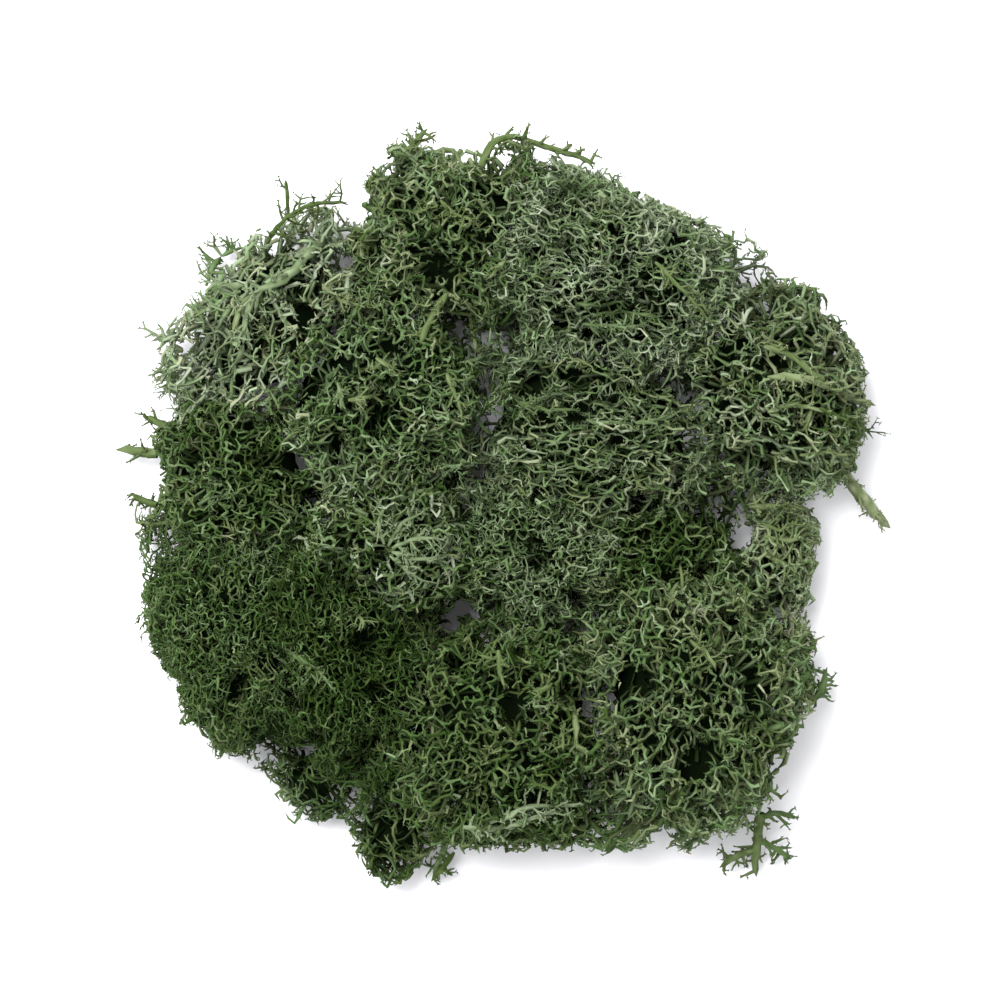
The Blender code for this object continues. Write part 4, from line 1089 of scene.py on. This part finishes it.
def add_shade_heart(sheaf, owner, clump, rng):
    """The dark heart of a tuft, painted shade deep in it: a rough closed ball inside the sprigs."""
    ball = bmesh.new()
    bmesh.ops.create_icosphere(ball, subdivisions=3, radius=1.0)
    points = np.array([vert.co for vert in ball.verts])
    faces = np.array([[vert.index for vert in face.verts] for face in ball.faces])
    ball.free()
    places = heart_places(owner, points)
    tuft = TUFTS[owner]
    centre = np.array([tuft.x, tuft.y, tuft.height * SEAT]) * MM
    rough = HEART_SIZE + rng.uniform(*HEART_ROUGH, len(points))[:, None]
    places = centre + (places - centre) * rough
    for _ in range(12):
        whole, _ = clump.reach(places)
        whole = whole - clump.dips(places, SMALL)
        share = 1.0 + 0.6 * np.clip(HEART_LEVEL - whole, -0.3, 0.0)
        places = centre + (places - centre) * share[:, None]
    places[:, 2] = np.maximum(places[:, 2], 0.0)
    sheaf.add(places, faces, np.full(len(points), HEART_TONE), np.full(len(points), 1))


def make_piece(name, sheaf, clump):
    """The gathered mesh as one object, with its map of tone, depth for painted shade, and hue."""
    points = np.concatenate(sheaf.points)
    points[:, 2] = np.maximum(points[:, 2], 0.0)
    faces = np.concatenate(sheaf.faces)
    tones = np.concatenate(sheaf.tones)
    # Depth sets the painted shade; hearts take the full depth, so they get the darkest painted shade
    depth = np.where(tones > 0.5 * HEART_TONE, clump.depth(points), 1.0)
    tones = np.clip(tones, 0.0, 1.0)
    hues = np.concatenate(sheaf.hues)
    data = bpy.data.meshes.new(name)
    data.vertices.add(len(points))
    data.vertices.foreach_set("co", points.astype(np.float32).ravel())
    data.loops.add(len(faces) * 3)
    data.loops.foreach_set("vertex_index", faces.astype(np.int32).ravel())
    data.polygons.add(len(faces))
    data.polygons.foreach_set("loop_start", np.arange(len(faces), dtype=np.int32) * 3)
    data.polygons.foreach_set("loop_total", np.full(len(faces), 3, dtype=np.int32))
    layer = data.uv_layers.new(name=MAP_NAME)
    up = (hues + 0.04 + 0.90 * depth) / len(TINTS)
    places = np.stack([0.01 + 0.97 * tones, up], axis=1)
    nudge = np.tile(np.array([[0.0, 0.0], [NUDGE, 0.0], [0.0, NUDGE]]), (len(faces), 1))
    layer.data.foreach_set("uv", (places[faces.ravel()] + nudge).astype(np.float32).ravel())
    data.update(calc_edges=True)
    data.validate()
    data.shade_smooth()
    piece = bpy.data.objects.new(name, data)
    bpy.context.scene.collection.objects.link(piece)
    return piece


def ramp(tree, factor, stops, steps=False):
    """A colour ramp over stops, each a place and a colour."""
    node = tree.nodes.new("ShaderNodeValToRGB")
    while len(node.color_ramp.elements) < len(stops):
        node.color_ramp.elements.new(0.5)
    for element, (place, colour) in zip(node.color_ramp.elements, stops):
        element.position = place
        element.color = (*colour, 1.0)
    if steps:
        node.color_ramp.interpolation = "CONSTANT"
    tree.links.new(factor, node.inputs["Fac"])
    return node.outputs["Color"]


def thirds(tree, value):
    """How far a value is along its third of the map."""
    for kind, other in (("MULTIPLY", float(len(TINTS))), ("FRACT", 0.0)):
        node = tree.nodes.new("ShaderNodeMath")
        node.operation = kind
        tree.links.new(value, node.inputs[0])
        node.inputs[1].default_value = other
        value = node.outputs["Value"]
    return value


def mixed(tree, kind, one, other, factor=None):
    """Two colours mixed, by a factor or in full."""
    node = tree.nodes.new("ShaderNodeMix")
    node.data_type = "RGBA"
    node.blend_type = kind
    if factor is None:
        node.inputs["Factor"].default_value = 1.0
    else:
        tree.links.new(factor, node.inputs["Factor"])
    tree.links.new(one, node.inputs["A"])
    tree.links.new(other, node.inputs["B"])
    return node.outputs["Result"]


def noise(tree, place, scale, detail):
    """Fine noise over the piece's own places."""
    node = tree.nodes.new("ShaderNodeTexNoise")
    node.inputs["Scale"].default_value = scale
    node.inputs["Detail"].default_value = detail
    tree.links.new(place, node.inputs["Vector"])
    return node.outputs["Fac"]


def lichen_material():
    """Dry dyed lichen: colour by tone and hue, painted shade by depth, and a dull, finely rough
    surface.
    """
    material = bpy.data.materials.new("lichen")
    material.use_nodes = True
    tree = material.node_tree
    shader = tree.nodes["Principled BSDF"]
    place = tree.nodes.new("ShaderNodeUVMap")
    place.uv_map = MAP_NAME
    parts = tree.nodes.new("ShaderNodeSeparateXYZ")
    tree.links.new(place.outputs["UV"], parts.inputs["Vector"])
    across, up = parts.outputs["X"], parts.outputs["Y"]
    outer = ramp(tree, across, OUTER_COLOURS)
    inner = ramp(tree, across, DEEP_SHADE_COLOURS)
    # Deeper places take the deep colours: painted shade of the clump's recesses
    colour = mixed(tree, "MIX", outer, inner, thirds(tree, up))
    stops = [(number / len(TINTS), tint) for number, tint in enumerate(TINTS)]
    tint = ramp(tree, up, stops, steps=True)
    tree.links.new(mixed(tree, "MULTIPLY", colour, tint), shader.inputs["Base Color"])
    own = tree.nodes.new("ShaderNodeTexCoord").outputs["Object"]
    rough = tree.nodes.new("ShaderNodeMapRange")
    tree.links.new(noise(tree, own, ROUGH_SCALE, 2.0), rough.inputs["Value"])
    rough.inputs["To Min"].default_value, rough.inputs["To Max"].default_value = ROUGHNESS
    tree.links.new(rough.outputs["Result"], shader.inputs["Roughness"])
    bump = tree.nodes.new("ShaderNodeBump")
    bump.inputs["Strength"].default_value = BUMP_STRENGTH
    bump.inputs["Distance"].default_value = BUMP_HEIGHT * MM
    tree.links.new(noise(tree, own, BUMP_SCALE, 1.0), bump.inputs["Height"])
    tree.links.new(bump.outputs["Normal"], shader.inputs["Normal"])
    shader.inputs["Specular IOR Level"].default_value = SHINE
    return material


def make_floor():
    """A plain white surface under the clump."""
    bpy.ops.mesh.primitive_plane_add(size=FLOOR_SIZE, location=(0.0, 0.0, -FLOOR_DROP))
    floor = bpy.context.active_object
    floor.name = "floor"
    material = bpy.data.materials.new("floor_white")
    material.use_nodes = True
    shader = material.node_tree.nodes["Principled BSDF"]
    shader.inputs["Base Color"].default_value = FLOOR_COLOUR
    shader.inputs["Roughness"].default_value = 0.9
    floor.data.materials.append(material)


def make_studio():
    """Soft light from the upper left, a bright room and a camera straight above."""
    scene = bpy.context.scene
    scene.world = bpy.data.worlds.new("room")
    scene.world.use_nodes = True
    background = scene.world.node_tree.nodes["Background"]
    background.inputs["Color"].default_value = ROOM_COLOUR
    background.inputs["Strength"].default_value = ROOM_STRENGTH
    key_data = bpy.data.lights.new("key", "AREA")
    key_data.size = KEY_SIZE
    key_data.energy = KEY_POWER
    key = bpy.data.objects.new("key", key_data)
    key.location = KEY_PLACE
    key.rotation_euler = (-Vector(KEY_PLACE)).to_track_quat("-Z", "Y").to_euler()
    scene.collection.objects.link(key)
    camera_data = bpy.data.cameras.new("camera")
    camera_data.sensor_width = SENSOR
    camera_data.lens = SENSOR * CAMERA_HEIGHT / (FLOOR_WIDTH * MM)
    camera = bpy.data.objects.new("camera", camera_data)
    camera.location = (AXIS[0] * MM, AXIS[1] * MM, CAMERA_HEIGHT)
    scene.collection.objects.link(camera)
    scene.camera = camera
    scene.view_settings.view_transform = "Standard"


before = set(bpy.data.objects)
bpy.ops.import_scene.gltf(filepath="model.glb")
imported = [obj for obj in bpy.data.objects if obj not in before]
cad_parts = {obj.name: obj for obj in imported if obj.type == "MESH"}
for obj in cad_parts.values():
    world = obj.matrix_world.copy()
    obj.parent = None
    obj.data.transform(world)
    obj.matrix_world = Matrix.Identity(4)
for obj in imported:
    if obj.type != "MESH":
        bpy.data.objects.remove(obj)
cad_low, cad_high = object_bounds()
rng = np.random.default_rng(SEED)
clump = Clump(TUFTS, HOLLOWS + small_hollows(rng), (np.array(cad_low), np.array(cad_high)))
sheaves = [Sheaf() for _ in TUFTS]
# Dark hearts, painted shade inside each tuft
for owner, sheaf in enumerate(sheaves):
    add_shade_heart(sheaf, owner, clump, rng)
stems = Shoots.joined([planted(owner, clump, rng) for owner in range(len(TUFTS))])
clothe(sheaves, stems, STEM.sides, rng)
grow(sheaves, stems, clump, rng)
for layer in LAYERS:
    lying = Shoots.joined([layered(owner, layer, clump, rng) for owner in range(len(TUFTS))])
    clothe(sheaves, lying, 3, rng)
    if layer.rate > 0.0:
        clothe_twigs(sheaves, branches(lying, TWIG, clump, rng, layer.rate), clump, rng)
for net in NETS:
    for owner, tuft in enumerate(TUFTS):
        if tuft.height > NETTED_ABOVE:
            netted(sheaves, knots_of(owner, net, clump, rng), net, clump, rng)
for net in VALLEY_NETS:
    netted(sheaves, valley_knots(net, clump, rng), net, clump, rng)
given, rates = given_stems(clump, rng)
clothe(sheaves, given, 7, rng, rough=STEM_ROUGH)
grow(sheaves, given, clump, rng, rates)
lichen = lichen_material()
for tuft, sheaf in zip(TUFTS, sheaves):
    piece = make_piece(tuft.name + "_sprigs", sheaf, clump)
    piece.data.materials.append(lichen)
    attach(piece, "root")
    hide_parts(tuft.name)
make_floor()
make_studio()
